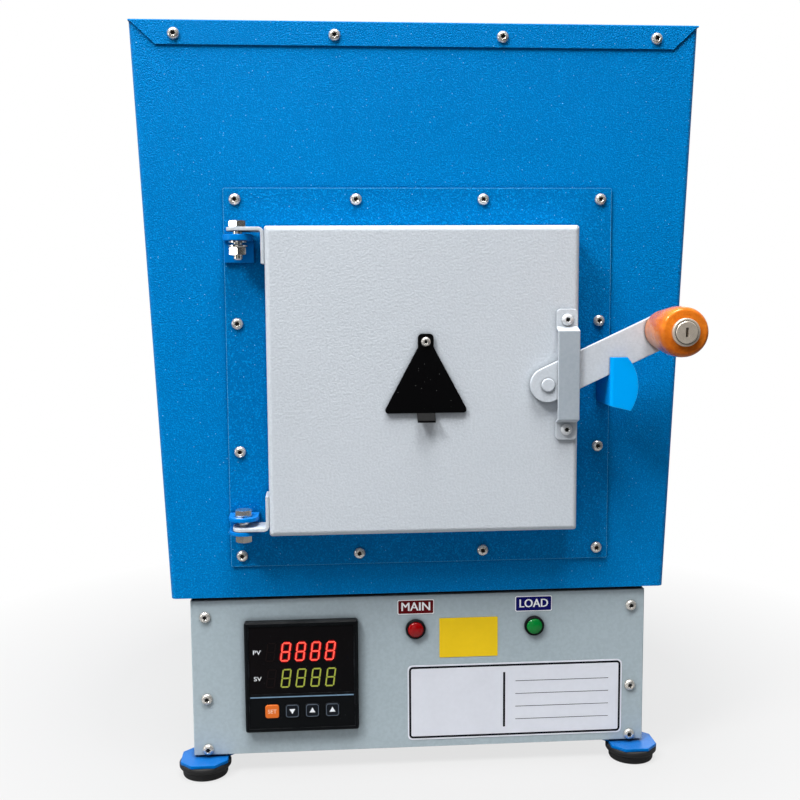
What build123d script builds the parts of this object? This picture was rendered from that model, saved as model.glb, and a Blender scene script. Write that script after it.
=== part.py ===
from build123d import *
import os
from math import atan2, cos, degrees, radians, sin, tan

# Bench muffle furnace: a tapered sheet-steel body on a control box, with a latched door.
# Millimetres, +Z up, the door faces -Y. Everything is laid out from the floor and from the
# control box's front face (y = 0); the last step moves it so that the origin lies on the
# floor under the middle of the whole furnace.

# ---- Stock and fits ----
sheet = 1.5  # folded casing sheet
plate = 3.0  # brackets, ears and foot plates
seat_gap = 0.2  # between faces that slide past each other
pin_clearance = 0.05  # radial, between a pivot and its hole
board_clearance = 0.3  # around a lining board
screw_clearance = 0.1  # radial, around a screw's shank

# ---- Screws (radius, length along the axis) ----
screw_head_radius = 4.8
screw_head_height = 2.8
screw_crown_radius = 3.2
screw_shank_radius = 2.4
screw_sides = 12  # screws repeat often, so their rounds are many-sided prisms
screw_shank_sides = 8
screw_row = (-1, -0.348, 0.348, 1)  # places in a row of four, as shares of its half length
trim_sides = 32  # other small rounds that nothing turns in

# ---- Feet ----
foot_base_radius = 19.0
foot_base_height = 7.0
foot_rim_radius = 22.0
foot_rim_height = 5.0
foot_rim_chamfer = 1.6
foot_plate_size = 40.0
foot_plate_corner = 10.0
foot_packing = 2.0
foot_inset_x = 9.0  # foot centre inside the box's side
foot_inset_y = 3.5  # foot centre behind the box's front and ahead of its back
foot_tongue_width = 24.0
foot_tongue_reach = 62.0
foot_screw_reach = 46.0

# ---- Control box ----
box_width = 390.0
box_depth = 470.0
box_height = 135.0
box_flange = 20.0
box_corner = 1.2
panel_screw_x = 183.0
panel_screw_heights = (4.8, 49.4, 120.9)
louvre_count = 4
louvre_length = 62.0
louvre_height = 7.0
louvre_stand = 2.4
louvre_wall = 0.9
louvre_pitch = 80.0
louvre_rise = 121.0
louvre_start = 24.0
vent_slot_length = 60.0
vent_slot_width = 5.0
vent_slot_pitch = 12.0
vent_slot_count = 6

# ---- Temperature controller ----
controller_size = 96.0
controller_x = -102.3
controller_rise = 68.8
controller_corner = 2.0
bezel_depth = 7.0
bezel_chamfer = 1.2
bezel_rim = 3.2
face_recess = 0.8  # the face behind the bezel's rim
controller_cutout_width = 92.0
controller_body_width = 90.0
controller_length = 78.0
window_width = 88.0
window_height = 58.0
window_rise = 14.5  # window centre above the controller's centre
window_recess = 1.0  # the window's pocket behind the face
window_set_back = 0.2
key_size = 11.6
key_corner = 2.2
key_pitch = 17.0
key_drop = 29.7  # key row below the controller's centre
key_stand = 0.9
key_depth = 3.4
key_chamfer = 0.4
key_travel = 0.8
clamp_width = 14.0
clamp_length = 60.0
clamp_thickness = 4.0

# ---- Indicator lamps ----
lamp_spacing = 102.8
lamp_middle_x = 46.6
lamp_rise = 105.4
lamp_bezel_radius = 8.6
lamp_bezel_height = 3.4
lamp_lens_radius = 6.9
lamp_lens_height = 5.2
lamp_body_radius = 6.0
lamp_body_length = 26.0
lamp_nut_across = 16.0
lamp_nut_height = 4.0
lamp_bezel_chamfer = 0.9
lamp_lens_chamfer = 1.4

# ---- Tapered body ----
gasket_thickness = 3.5
gasket_width = 18.0
body_height = 470.0
body_bottom_width = 420.0
body_top_width = 461.4
body_overhang = 4.0  # body front ahead of the box front
body_rear_overhang = 6.0  # body back behind the box back
body_bend = 4.5
body_flange = 18.0
lip_height = 19.3
lip_mitre = 20.7
cover_bend = 2.4
lip_screw_margin = 35.4  # outer screws inside the lid's ends
lip_screw_drop = 11.0

# ---- Chamber and lining ----
chamber_width = 150.0
chamber_height = 150.0
chamber_rise = 182.7  # chamber axis above the body's bottom
muffle_wall = 15.0
muffle_corner = 9.0
throat_length = 50.0
rear_board_thickness = 68.0
rear_space = 44.0  # air between the rear board and the back panel
lid_space = 59.3  # air between the top board and the lid
throat_margin = 3.0
winding_thickness = 1.2
winding_width = 5.0
winding_turns = 11
winding_margin = 20.0  # bare muffle ahead of the first turn
winding_gap = 0.3
sheath_radius = 4.0
sheath_reach = 42.0
sheath_rise = 38.0
sheath_head_radius = 15.0
sheath_head_length = 22.0
sheath_head_chamfer = 2.0
terminal_radius = 9.0
terminal_length = 24.0
terminal_spread = 60.0
terminal_drop = 40.0

# ---- Door frame plate ----
frame_width = 319.0
frame_height = 312.0
frame_thickness = 2.0
frame_corner = 1.5
frame_screw_margin_x = 9.5
frame_screw_margin_z = 9.3
frame_side_screws = (46.6, -59.0)  # above the chamber axis

# ---- Door ----
door_width = 251.0
door_height = 248.0
door_thickness = 30.0
door_gap = 2.0  # door's back edge to the frame plate
door_bend = 4.5
door_corner = 2.0
plug_size = 140.0
plug_tip_size = 127.0
plug_reach = 40.0  # into the throat, past the frame plate
sight_radius = 10.0
sight_tube_wall = 2.0
sight_x = 1.0
sight_drop = 5.0  # below the chamber axis
seal_width = 8.0
seal_margin = 6.0

# ---- Hinges ----
hinge_offset = 21.5  # hinge axis beside the door
hinge_y = -22.0
hinge_pin_radius = 4.0
hinge_ear_radius = 12.0
hinge_ear_thickness = 3.5
upper_bracket_ear = 5.0  # the upper bracket's ear is of thicker stock
bolt_head_across = 13.0
bolt_head_height = 5.3
nut_height = 6.5
lock_nut_height = 8.0  # the upper bolt's self-locking nut
washer_radius = 8.0
washer_thickness = 3.4
bolt_tip = 3.6  # thread past the upper nut
lower_bolt_tip = 0.8
upper_ear_inset = 3.7  # underside of the door's upper ear below the door's top edge
upper_ear_space = 2.5
lower_ear_inset = 3.5  # underside of the door's lower ear above the door's bottom edge
lower_ear_space = 4.6
door_ear_width = 24.0
door_ear_end = 8.5  # beyond the hinge axis
door_ear_corner = 7.5
door_ear_flange = 29.0
door_ear_bend = 2.0
bracket_flange = 22.0
bracket_bend = 1.5

# ---- Latch lever, strap and keeper ----
pivot_inset = 26.5  # lever pivot inside the door's free edge
lever_pivot_drop = 3.5  # below the chamber axis
lever_reach = 103.6
lever_angle = 24.8
lever_width = 28.0
lever_thickness = 5.0
lever_pin_radius = 4.3
lever_pin_head_radius = 5.6
lever_pin_head = 1.6
lever_pin_chamfer = 0.8
lever_washer = 1.3
lever_washer_radius = 10.0
strap_inset = 10.3  # strap's middle inside the door's free edge
strap_width = 17.5
strap_length = 106.0
strap_rise = 7.8  # strap's middle above the lever's pivot line, along Z
strap_opening = 69.0
strap_ramp = 3.0
strap_thickness = 2.5
strap_corner = 3.5
strap_screw_spacing = 88.8
lever_run_gap = 1.8
keeper_offset = 23.0  # keeper's web beside the door
keeper_low = 20.7  # below the chamber axis
keeper_flange_top = 18.5  # above the chamber axis
keeper_flange_tip = 24.8  # below the chamber axis
keeper_flange_width = 14.0
keeper_flange_belly = 23.0
keeper_flange_tail = 17.0
keeper_base = 11.0
keeper_bend = 3.0

# ---- Knob with its lock ----
knob_length = 51.0
knob_back_radius = 15.8
knob_belly_radius = 19.6
knob_waist_radius = 18.2
knob_waist_share = 0.35
knob_belly_share = 0.7
knob_front_radius = 18.8
knob_round = 3.6
knob_sides = 40
lock_ring_radius = 10.8
lock_ring_height = 3.0
lock_ring_chamfer = 0.9
lock_floor = 4.0  # closed back of the barrel
lock_plug_chamfer = 0.5
lock_body_radius = 9.6
lock_depth = 30.0
plug_radius = 8.5
plug_stand = 4.2
key_slot_height = 7.0
key_slot_width = 2.2
key_slot_depth = 8.0

# ---- Sight-hole cover ----
cover_thickness = 2.0
cover_washer = 1.0
cover_pivot_rise = 32.2  # above the chamber axis
cover_tab_half = 6.3
cover_tab_top = 6.3
cover_tab_low = 4.5
cover_half_width = 34.4
cover_drop = 57.2
cover_corner = 2.5
cover_pin_radius = 2.0
cover_screw_head = 3.9
cover_screw_height = 2.2
cover_screw_chamfer = 1.1
cover_washer_radius = 4.5
finger_width = 14.6
finger_reach = 5.5
finger_thickness = 1.6

# ---- Inside the control box ----
heatsink_width = 110.0
heatsink_length = 100.0
heatsink_base = 6.0
heatsink_height = 30.0
fin_count = 9
fin_thickness = 2.0
relay_width = 45.0
relay_length = 58.0
relay_height = 22.0
terminal_block_length = 48.0
terminal_block_width = 28.0
terminal_block_height = 24.0
terminal_block_space = 60.0  # ahead of the rear panel's flange

# ---- Rear of the control box ----
gland_x = -130.0
gland_rise = 40.0
gland_bore_radius = 5.5
gland_thread_radius = 10.0
gland_hex_across = 24.0
gland_hex_height = 7.0
gland_cap_length = 14.0
gland_cap_radius = 10.5
gland_cap_chamfer = 3.0
gland_nut_height = 5.0
gland_thread_end = 2.0  # thread past the nut

# ---- Levels and planes that follow from the sizes above ----
foot_height = foot_base_height + foot_rim_height + plate + foot_packing
box_bottom = foot_height
box_top = box_bottom + box_height
body_bottom = box_top + gasket_thickness
body_top = body_bottom + body_height
body_front = -body_overhang
body_back = box_depth + body_rear_overhang
shell_top = body_top - sheet
shell_back = body_back - sheet
axis_z = body_bottom + chamber_rise
frame_front = body_front - frame_thickness
door_back = frame_front - door_gap
door_front = door_back - door_thickness
muffle_front = body_front + sheet + throat_length
lining_back = shell_back - rear_space
muffle_back = lining_back - rear_board_thickness
chamber_depth = muffle_back - muffle_wall - muffle_front
winding_pitch = (chamber_depth - 2 * winding_margin) / (winding_turns - 1)
lining_high = shell_top - lid_space
controller_face = face_recess - bezel_depth
hinge_x = -door_width / 2 - hinge_offset
lever_pivot_x = door_width / 2 - pivot_inset
strap_x = door_width / 2 - strap_inset
keeper_x = door_width / 2 + keeper_offset
lever_back = door_front - lever_washer
lever_front = lever_back - lever_thickness
lever_pivot_z = axis_z - lever_pivot_drop
knob_x = lever_pivot_x + lever_reach * cos(radians(lever_angle))
knob_z = lever_pivot_z + lever_reach * sin(radians(lever_angle))
knob_front = lever_front - knob_length
strap_inside = lever_front - lever_run_gap
gland_back = box_depth + gland_hex_height + gland_cap_length
plug_front = knob_front - plug_stand
middle_y = (plug_front + gland_back) / 2


# ---- Small helpers ----
def slab(x_low, x_high, y_low, y_high, z_low, z_high):
    """A box given by its corners."""
    size = (x_high - x_low, y_high - y_low, z_high - z_low)
    return Pos(x_low, y_low, z_low) * Box(*size, align=(Align.MIN, Align.MIN, Align.MIN))


def facing(outline, y_front, y_back):
    """A solid from an outline drawn in X and Z, between two depths."""
    return extrude(Plane.XZ.offset(-y_back) * outline, amount=y_back - y_front, dir=(0, -1, 0))


def level(outline, z_low, z_high):
    """A solid from an outline drawn in X and Y, between two heights."""
    return extrude(Plane.XY.offset(z_low) * outline, amount=z_high - z_low, dir=(0, 0, 1))


def across(outline, x_low, width):
    """A solid from an outline drawn in Y and Z, as wide as width along X."""
    return extrude(Plane.YZ.offset(x_low) * outline, amount=width, dir=(1, 0, 0))


def rod_y(radius, x, z, y_front, y_back):
    return facing(Pos(x, z) * Circle(radius), y_front, y_back)


def stud_y(radius, x, z, y_front, y_back):
    """A round that nothing turns in, as a many-sided prism."""
    return facing(Pos(x, z) * RegularPolygon(radius, trim_sides), y_front, y_back)


def front_chamfered(solid, y, width):
    """Breaks every edge of a solid that lies in the plane at depth y."""
    return chamfer([e for e in solid.edges() if abs(e.center().Y - y) < 0.01], width)


def rod_z(radius, x, y, z_low, z_high):
    return level(Pos(x, y) * Circle(radius), z_low, z_high)


def hexagon(across_flats):
    return RegularPolygon(across_flats / 2, 6, major_radius=False)


def outline(*points):
    return Polygon(*points, align=None)


def rounded(width, height, radius):
    return RectangleRounded(width, height, radius)


def screw(seat, thickness):
    """A low-headed screw on the origin, its head towards -Y; seat is its depth."""
    lean = degrees(atan2(screw_head_radius - screw_crown_radius, screw_head_height))
    head = extrude(Plane.XZ.offset(-seat) * RegularPolygon(screw_head_radius, screw_sides),
                   amount=screw_head_height, taper=lean)
    shank = facing(RegularPolygon(screw_shank_radius, screw_shank_sides), seat, seat + thickness)
    return head + shank


def screws_at(spots, seat, thickness):
    """A group of screws at (x, z) spots, heads to the front."""
    model = screw(seat, thickness)
    return Compound([Pos(x, 0, z) * model for x, z in spots])


def rear_screws_at(spots, seat, thickness):
    """A group of screws at (x, z) spots, heads to the back."""
    model = Rot(0, 0, 180) * screw(-seat, thickness)
    return Compound([Pos(x, 0, z) * model for x, z in spots])


def holes_at(spots, y_front, y_back):
    """Cutters for those screws, a little longer than the sheet."""
    hole = RegularPolygon(screw_shank_radius + screw_clearance, screw_shank_sides)
    return [facing(Pos(x, z) * hole, y_front - 1, y_back + 1) for x, z in spots]


def body_half(z):
    """Half the body's width at a height: its sides lean outwards."""
    share = (z - body_bottom) / body_height
    return (body_bottom_width + share * (body_top_width - body_bottom_width)) / 2


def body_section(z_low, z_high, inset=0.0):
    low = body_half(z_low) - inset
    high = body_half(z_high) - inset
    return outline((-low, z_low), (low, z_low), (high, z_high), (-high, z_high))


def upright_edges(solid, y):
    """The two leaning edges of a body-shaped solid at depth y."""
    return [e for e in solid.edges() if abs(e.center().Y - y) < 0.01 and abs(e.center().X) > 1]


# ---- Where the screws go ----
frame_screw_x = frame_width / 2 - frame_screw_margin_x
frame_screw_z = frame_height / 2 - frame_screw_margin_z
frame_screw_spots = [(share * frame_screw_x, axis_z + side * frame_screw_z)
                     for side in (-1, 1) for share in screw_row]
frame_screw_spots += [(side * frame_screw_x, axis_z + rise)
                      for side in (-1, 1) for rise in frame_side_screws]
lip_screw_spots = [(share * (body_top_width / 2 - lip_screw_margin), body_top - lip_screw_drop)
                   for share in screw_row]
panel_screw_spots = [(side * panel_screw_x, box_bottom + rise)
                     for side in (-1, 1) for rise in panel_screw_heights]
strap_middle_z = lever_pivot_z + strap_rise
strap_screw_spots = [(strap_x, strap_middle_z + side * strap_screw_spacing / 2) for side in (-1, 1)]
back_screw_spots = [(side * (body_half(z) - body_flange / 2), z) for side in (-1, 1)
                    for z in (body_bottom + body_flange / 2, (body_bottom + body_top) / 2,
                              body_top - lip_height - body_flange / 2)]
rear_screw_spots = [(side * panel_screw_x, box_bottom + rise)
                    for side in (-1, 1) for rise in panel_screw_heights[1:]]
foot_spots = [(side_x * (box_width / 2 - foot_inset_x),
               foot_inset_y if side_y < 0 else box_depth - foot_inset_y, side_x, side_y)
              for side_x in (-1, 1) for side_y in (-1, 1)]
lamp_spots = [(lamp_middle_x - lamp_spacing / 2, box_bottom + lamp_rise),
              (lamp_middle_x + lamp_spacing / 2, box_bottom + lamp_rise)]
controller_z = box_bottom + controller_rise
key_spots = [(controller_x + (index - 1.5) * key_pitch, controller_z - key_drop)
             for index in range(4)]


# ---- Feet: rubber pads under blue corner plates ----
def foot_screw_spot(x, y, side_x, side_y):
    """Where a foot's screw goes, inwards from its corner."""
    slant = foot_screw_reach * 2 ** -0.5
    return x - side_x * slant, y - side_y * slant


def foot_screw_hole(spot):
    hole = RegularPolygon(screw_shank_radius + screw_clearance, screw_shank_sides)
    return level(Pos(*foot_screw_spot(*spot)) * hole, 0, box_bottom + 1)


def foot_plate(*spot):
    """An eight-sided pad at the corner with a slanting tongue under the box."""
    x, y, side_x, side_y = spot
    turn = degrees(atan2(-side_y, -side_x))
    pad = Rectangle(foot_plate_size, foot_plate_size)
    pad = Pos(x, y) * chamfer(pad.vertices(), foot_plate_corner)
    tongue = Pos(x, y) * Rot(0, 0, turn) * Pos(foot_tongue_reach / 2, 0) * Rectangle(
        foot_tongue_reach, foot_tongue_width)
    shape = level(pad + tongue, box_bottom - foot_packing - plate, box_bottom - foot_packing)
    return shape - foot_screw_hole(spot)


def rubber_foot(x, y):
    rim_top = foot_base_height + foot_rim_height
    base = level(Pos(x, y) * RegularPolygon(foot_base_radius, trim_sides), 0, foot_base_height)
    rim = level(Pos(x, y) * RegularPolygon(foot_rim_radius, trim_sides), foot_base_height, rim_top)
    rim = chamfer([e for e in rim.edges() if abs(e.center().Z - foot_base_height) < 0.01],
                  foot_rim_chamfer)
    return base + rim


def foot_packing_strip(*spot):
    """A flat strip between the plate's tongue and the box, clear of the front panel."""
    x, y, side_x, side_y = spot
    turn = degrees(atan2(-side_y, -side_x))
    near = foot_screw_reach / 2
    strip = Pos(x, y) * Rot(0, 0, turn) * Pos((near + foot_tongue_reach) / 2, 0) * Rectangle(
        foot_tongue_reach - near, foot_tongue_width)
    return level(strip, box_bottom - foot_packing, box_bottom) - foot_screw_hole(spot)


def foot_screw(x, y):
    """A screw that rises through the tongue and the packing."""
    seat = box_bottom - foot_packing - plate
    return Pos(x, y, seat) * Rot(90, 0, 0) * screw(0, plate + foot_packing)


# ---- Control box ----
def control_box_shell():
    half = box_width / 2
    front, back = sheet, box_depth - sheet
    shape = slab(-half, half, front, back, box_bottom, box_top)
    shape -= slab(-half + sheet, half - sheet, front + sheet, back - sheet,
                  box_bottom + sheet, box_top - sheet)
    shape -= slab(-half + box_flange, half - box_flange, front - 1, back + 1,
                  box_bottom + box_flange / 2, box_top - box_flange)
    shape -= slab(-half + box_flange, half - box_flange, front + box_flange, back - box_flange,
                  box_top - 2 * sheet, box_top + 1)
    for index in range(louvre_count):
        start = louvre_start + index * louvre_pitch
        shape += louvre(start)
        shape -= slab(half - 2 * sheet, half + 0.01, start + louvre_wall,
                      start + louvre_length - louvre_wall, louvre_low(), louvre_low() + louvre_height / 2)
    return shape


def louvre_low():
    return box_bottom + louvre_rise - louvre_height / 2


def louvre(start):
    """A pressed hood on the right side: it leans out and is open along its lower edge."""
    side = box_width / 2
    low, high = louvre_low(), louvre_low() + louvre_height
    outer = outline((side, low), (side + louvre_stand, low), (side + louvre_stand, low + louvre_height / 3),
                    (side, high))
    hollow = outline((side - 1, low - 1), (side + louvre_stand - louvre_wall, low - 1),
                     (side + louvre_stand - louvre_wall, low + louvre_height / 3 - louvre_wall / 3),
                     (side - 1, high - louvre_wall))
    hood = facing(outer, start, start + louvre_length)
    return hood - facing(hollow, start + louvre_wall, start + louvre_length - louvre_wall)


def control_front_panel():
    shape = slab(-box_width / 2, box_width / 2, 0, sheet, box_bottom, box_top)
    shape = fillet([e for e in shape.edges() if abs(e.center().Y) < 0.01 and abs(e.center().X) > 1],
                   box_corner)
    half = controller_cutout_width / 2
    shape -= slab(controller_x - half, controller_x + half, -1, sheet + 1,
                  controller_z - half, controller_z + half)
    cutters = holes_at(panel_screw_spots, 0, sheet)
    cutters += [stud_y(lamp_body_radius + screw_clearance, x, z, -1, sheet + 1) for x, z in lamp_spots]
    return shape - cutters


def control_rear_panel():
    front, back = box_depth - sheet, box_depth
    shape = slab(-box_width / 2, box_width / 2, front, back, box_bottom, box_top)
    shape -= holes_at(rear_screw_spots, front, back)
    shape -= stud_y(gland_thread_radius + screw_clearance, gland_x, box_bottom + gland_rise,
                    front - 1, back + 1)
    middle = box_bottom + box_height / 2
    for index in range(vent_slot_count):
        z = middle + (index - (vent_slot_count - 1) / 2) * vent_slot_pitch
        shape -= facing(Pos(0, z) * SlotOverall(vent_slot_length, vent_slot_width), front - 1, back + 1)
    return shape


# ---- Temperature controller ----
def controller_case():
    """Bezel with a raised rim, and the case behind the panel."""
    face = controller_face
    bezel = facing(Pos(controller_x, controller_z) * rounded(
        controller_size, controller_size, controller_corner), -bezel_depth, 0)
    inside = controller_size - 2 * bezel_rim
    recess = facing(Pos(controller_x, controller_z) * Rectangle(inside, inside), -bezel_depth - 1, face)
    half = controller_body_width / 2
    body = slab(controller_x - half, controller_x + half, 0, controller_length,
                controller_z - half, controller_z + half)
    window = facing(Pos(controller_x, controller_z + window_rise) * Rectangle(
        window_width + seat_gap, window_height + seat_gap), face - 1, face + window_recess)
    pockets = [facing(Pos(x, z) * rounded(key_size + 2 * seat_gap, key_size + 2 * seat_gap,
                                          key_corner + seat_gap), face - 1, face + key_depth)
               for x, z in key_spots]
    bezel = chamfer([e for e in bezel.edges() if abs(e.center().Y + bezel_depth) < 0.01
                     and e.length > controller_size / 2], bezel_chamfer)
    return bezel + body - recess - window - pockets


def controller_window():
    return facing(Pos(controller_x, controller_z + window_rise) * Rectangle(
        window_width, window_height), controller_face + window_set_back, controller_face + window_recess)


def controller_key(index):
    x, z = key_spots[index]
    face = controller_face - key_stand
    shape = facing(Pos(x, z) * rounded(key_size, key_size, key_corner), face,
                   controller_face + key_depth - key_travel - seat_gap)
    return front_chamfered(shape, face, key_chamfer)


def controller_clamps():
    """Two screw clamps on the controller's sides that press on the panel's back."""
    half = controller_body_width / 2
    clamps = []
    for side in (-1, 1):
        near = controller_x + side * half
        far = near + side * clamp_thickness
        clamps.append(slab(min(near, far), max(near, far), sheet, sheet + clamp_length,
                           controller_z - clamp_width / 2, controller_z + clamp_width / 2))
    return Compound(clamps)


# ---- Indicator lamps ----
def lamp_body(x, z):
    """Bezel ring, barrel through the panel and a nut behind it."""
    ring = stud_y(lamp_bezel_radius, x, z, -lamp_bezel_height, 0)
    ring = front_chamfered(ring, -lamp_bezel_height, lamp_bezel_chamfer)
    barrel = stud_y(lamp_body_radius, x, z, -lamp_bezel_height / 2, lamp_body_length)
    nut = facing(Pos(x, z) * hexagon(lamp_nut_across), sheet, sheet + lamp_nut_height)
    seat = stud_y(lamp_lens_radius + seat_gap / 2, x, z, -lamp_bezel_height - 1, -lamp_bezel_height / 2)
    return ring + barrel + nut - seat


def lamp_lens(x, z):
    shape = stud_y(lamp_lens_radius, x, z, -lamp_lens_height, -lamp_bezel_height / 2)
    return front_chamfered(shape, -lamp_lens_height, lamp_lens_chamfer)


# ---- Inside the control box ----
def heatsink():
    low = box_bottom + sheet
    half = heatsink_width / 2
    back = box_depth - sheet * 2 - box_flange
    front = back - heatsink_length
    shape = slab(-half, half, front, back, low, low + heatsink_base)
    step = (heatsink_width - fin_thickness) / (fin_count - 1)
    for index in range(fin_count):
        x = -half + index * step
        shape += slab(x, x + fin_thickness, front, back, low + heatsink_base, low + heatsink_height)
    return shape


def relay():
    low = box_bottom + sheet + heatsink_height
    back = box_depth - sheet * 2 - box_flange - (heatsink_length - relay_length) / 2
    return slab(-relay_width / 2, relay_width / 2, back - relay_length, back, low, low + relay_height)


def terminal_block():
    low = box_bottom + sheet
    back = box_depth - sheet * 2 - box_flange - terminal_block_space
    half = terminal_block_length / 2
    return slab(gland_x - half, gland_x + half, back - terminal_block_width, back,
                low, low + terminal_block_height)


def cable_gland():
    """Gland body with its hexagon and its cap outside, open along its axis."""
    x, z = gland_x, box_bottom + gland_rise
    thread_front = box_depth - sheet - gland_nut_height - gland_thread_end
    thread = stud_y(gland_thread_radius, x, z, thread_front, box_depth)
    flange = facing(Pos(x, z) * hexagon(gland_hex_across), box_depth, box_depth + gland_hex_height)
    cap = stud_y(gland_cap_radius, x, z, box_depth + gland_hex_height, gland_back)
    cap = front_chamfered(cap, gland_back, gland_cap_chamfer)
    return thread + flange + cap - rod_y(gland_bore_radius, x, z, thread_front - 1, gland_back + 1)


def gland_nut():
    x, z = gland_x, box_bottom + gland_rise
    back = box_depth - sheet
    nut = facing(Pos(x, z) * hexagon(gland_hex_across), back - gland_nut_height, back)
    return nut - stud_y(gland_thread_radius + pin_clearance, x, z, back - gland_nut_height - 1, back + 1)


# ---- Tapered body ----
def throat_cutter(margin, y_low, y_high):
    half_x = chamber_width / 2 + margin
    half_z = chamber_height / 2 + margin
    return slab(-half_x, half_x, y_low, y_high, axis_z - half_z, axis_z + half_z)


def body_shell():
    """Front and both sides folded from one sheet, with return flanges at the back."""
    outer = facing(body_section(body_bottom, shell_top), body_front, shell_back)
    outer = fillet(upright_edges(outer, body_front), body_bend)
    inner = facing(body_section(body_bottom - 1, shell_top + 1, sheet), body_front + sheet,
                   shell_back - sheet)
    inner = fillet(upright_edges(inner, body_front + sheet), body_bend - sheet)
    shape = outer - inner
    shape -= facing(body_section(body_bottom - 1, shell_top + 1, body_flange),
                    shell_back - 2 * sheet, shell_back + 1)
    return shape - throat_cutter(throat_margin, body_front - 1, body_front + sheet + 1)


def body_floor():
    shape = facing(body_section(body_bottom, body_bottom + sheet, sheet), body_front + sheet,
                   shell_back - sheet)
    return fillet(upright_edges(shape, body_front + sheet), body_bend)


def top_cover():
    """Lid with a mitred lip folded down over the front and the back."""
    half = body_top_width / 2
    front, back = body_front - sheet, body_back + sheet
    lid = slab(-half, half, front, back, shell_top, body_top)
    lip = outline((-half, body_top), (half, body_top), (half - lip_mitre, body_top - lip_height),
                  (-half + lip_mitre, body_top - lip_height))
    shape = lid + facing(lip, front, body_front) + facing(lip, body_back, back)
    ends = [e for e in shape.edges() if abs(e.center().Z - body_top) < 0.01
            and abs(e.center().X) < 1]
    shape = fillet(ends, cover_bend / 2)
    return shape - holes_at(lip_screw_spots, front, body_front)


def back_panel():
    shape = facing(body_section(body_bottom, shell_top), shell_back, body_back)
    return shape - holes_at(back_screw_spots, shell_back, body_back)


def body_gasket():
    half = box_width / 2 - sheet
    outer = slab(-half, half, 2 * sheet, box_depth - sheet, box_top, body_bottom)
    inner = slab(-half + gasket_width, half - gasket_width, 2 * sheet + gasket_width,
                 box_depth - sheet - gasket_width, box_top - 1, body_bottom + 1)
    return outer - inner


def frame_plate():
    shape = facing(Pos(0, axis_z) * rounded(frame_width, frame_height, frame_corner), frame_front, body_front)
    shape -= holes_at(frame_screw_spots, frame_front, body_front)
    return shape - throat_cutter(throat_margin, frame_front - 1, body_front + 1)


# ---- Lining, muffle and heater ----
def lining_section(z_low, z_high):
    return body_section(z_low, z_high, sheet + board_clearance)


def lining_top():
    return axis_z + chamber_height / 2 + muffle_wall + winding_thickness + winding_gap


def lining_base():
    return axis_z - chamber_height / 2 - muffle_wall - winding_thickness - winding_gap


def front_board():
    low = body_bottom + sheet
    shape = facing(lining_section(low, lining_high), body_front + sheet, muffle_front)
    shape = fillet(upright_edges(shape, body_front + sheet), body_bend)
    return shape - throat_cutter(0, body_front - 1, muffle_front + 1)


def rear_board():
    low = body_bottom + sheet
    shape = facing(lining_section(low, lining_high), muffle_back, lining_back)
    return shape - stud_y(sheath_radius + board_clearance, 0, axis_z + sheath_rise,
                          muffle_back - 1, lining_back + 1)


def base_board():
    return facing(lining_section(body_bottom + sheet, lining_base()), muffle_front, muffle_back)


def top_board():
    return facing(lining_section(lining_top(), lining_high), muffle_front, muffle_back)


def side_boards():
    """The two boards between the muffle and the leaning sides."""
    half = chamber_width / 2 + muffle_wall + winding_thickness + winding_gap
    whole = facing(lining_section(lining_base(), lining_top()), muffle_front, muffle_back)
    gap = slab(-half, half, muffle_front - 1, muffle_back + 1, lining_base() - 1, lining_top() + 1)
    return whole - gap


def muffle_outline(grow):
    """The muffle's outside with its cut corners, grown by a thickness."""
    square = Rectangle(chamber_width + 2 * (muffle_wall + grow),
                       chamber_height + 2 * (muffle_wall + grow))
    return chamfer(square.vertices(), muffle_corner + grow * (2 - 2 ** 0.5))


def muffle():
    """A ceramic box, open to the front, with its corners cut for the winding."""
    outer = facing(Pos(0, axis_z) * muffle_outline(0), muffle_front, muffle_back)
    hole = stud_y(sheath_radius + board_clearance, 0, axis_z + sheath_rise,
                  muffle_back - muffle_wall - 1, muffle_back + 1)
    return outer - throat_cutter(0, muffle_front - 1, muffle_back - muffle_wall) - hole


def heater_winding():
    """Turns of resistance strip around the muffle."""
    ring = muffle_outline(winding_thickness) - muffle_outline(0)
    turns = []
    for index in range(winding_turns):
        y = muffle_front + winding_margin + index * winding_pitch
        turns.append(facing(Pos(0, axis_z) * ring, y, y + winding_width))
    return Compound(turns)


def thermocouple_sheath():
    return stud_y(sheath_radius, 0, axis_z + sheath_rise,
                  muffle_back - muffle_wall - sheath_reach, lining_back)


def thermocouple_head():
    back = lining_back + sheath_head_length
    head = stud_y(sheath_head_radius, 0, axis_z + sheath_rise, lining_back, back)
    return front_chamfered(head, back, sheath_head_chamfer)


def heater_terminals():
    """Two ceramic posts that bring the winding's ends out of the lining."""
    z = axis_z - terminal_drop
    return Compound([stud_y(terminal_radius, side * terminal_spread / 2, z, lining_back,
                            lining_back + terminal_length) for side in (-1, 1)])


# ---- Door ----
def door_pan():
    """A folded pan: the front sheet and its four turned-back sides."""
    centre = Pos(0, axis_z)
    outer = facing(centre * rounded(door_width, door_height, door_corner), door_front, door_back)
    outer = fillet([e for e in outer.edges() if abs(e.center().Y - door_front) < 0.01], door_bend)
    inner = facing(centre * Rectangle(door_width - 2 * sheet, door_height - 2 * sheet),
                   door_front + sheet, door_back + 1)
    shape = outer - inner
    cutters = holes_at(strap_screw_spots, door_front, door_front + sheet)
    cutters.append(rod_y(sight_radius, sight_x, axis_z - sight_drop, door_front - 1,
                         door_front + sheet + 1))
    return shape - cutters


def door_back_plate():
    width = door_width - 2 * sheet
    height = door_height - 2 * sheet
    shape = facing(Pos(0, axis_z) * Rectangle(width, height), door_back - sheet, door_back)
    half = plug_size / 2 + board_clearance
    return shape - slab(-half, half, door_back - sheet - 1, door_back + 1, axis_z - half, axis_z + half)


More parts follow.
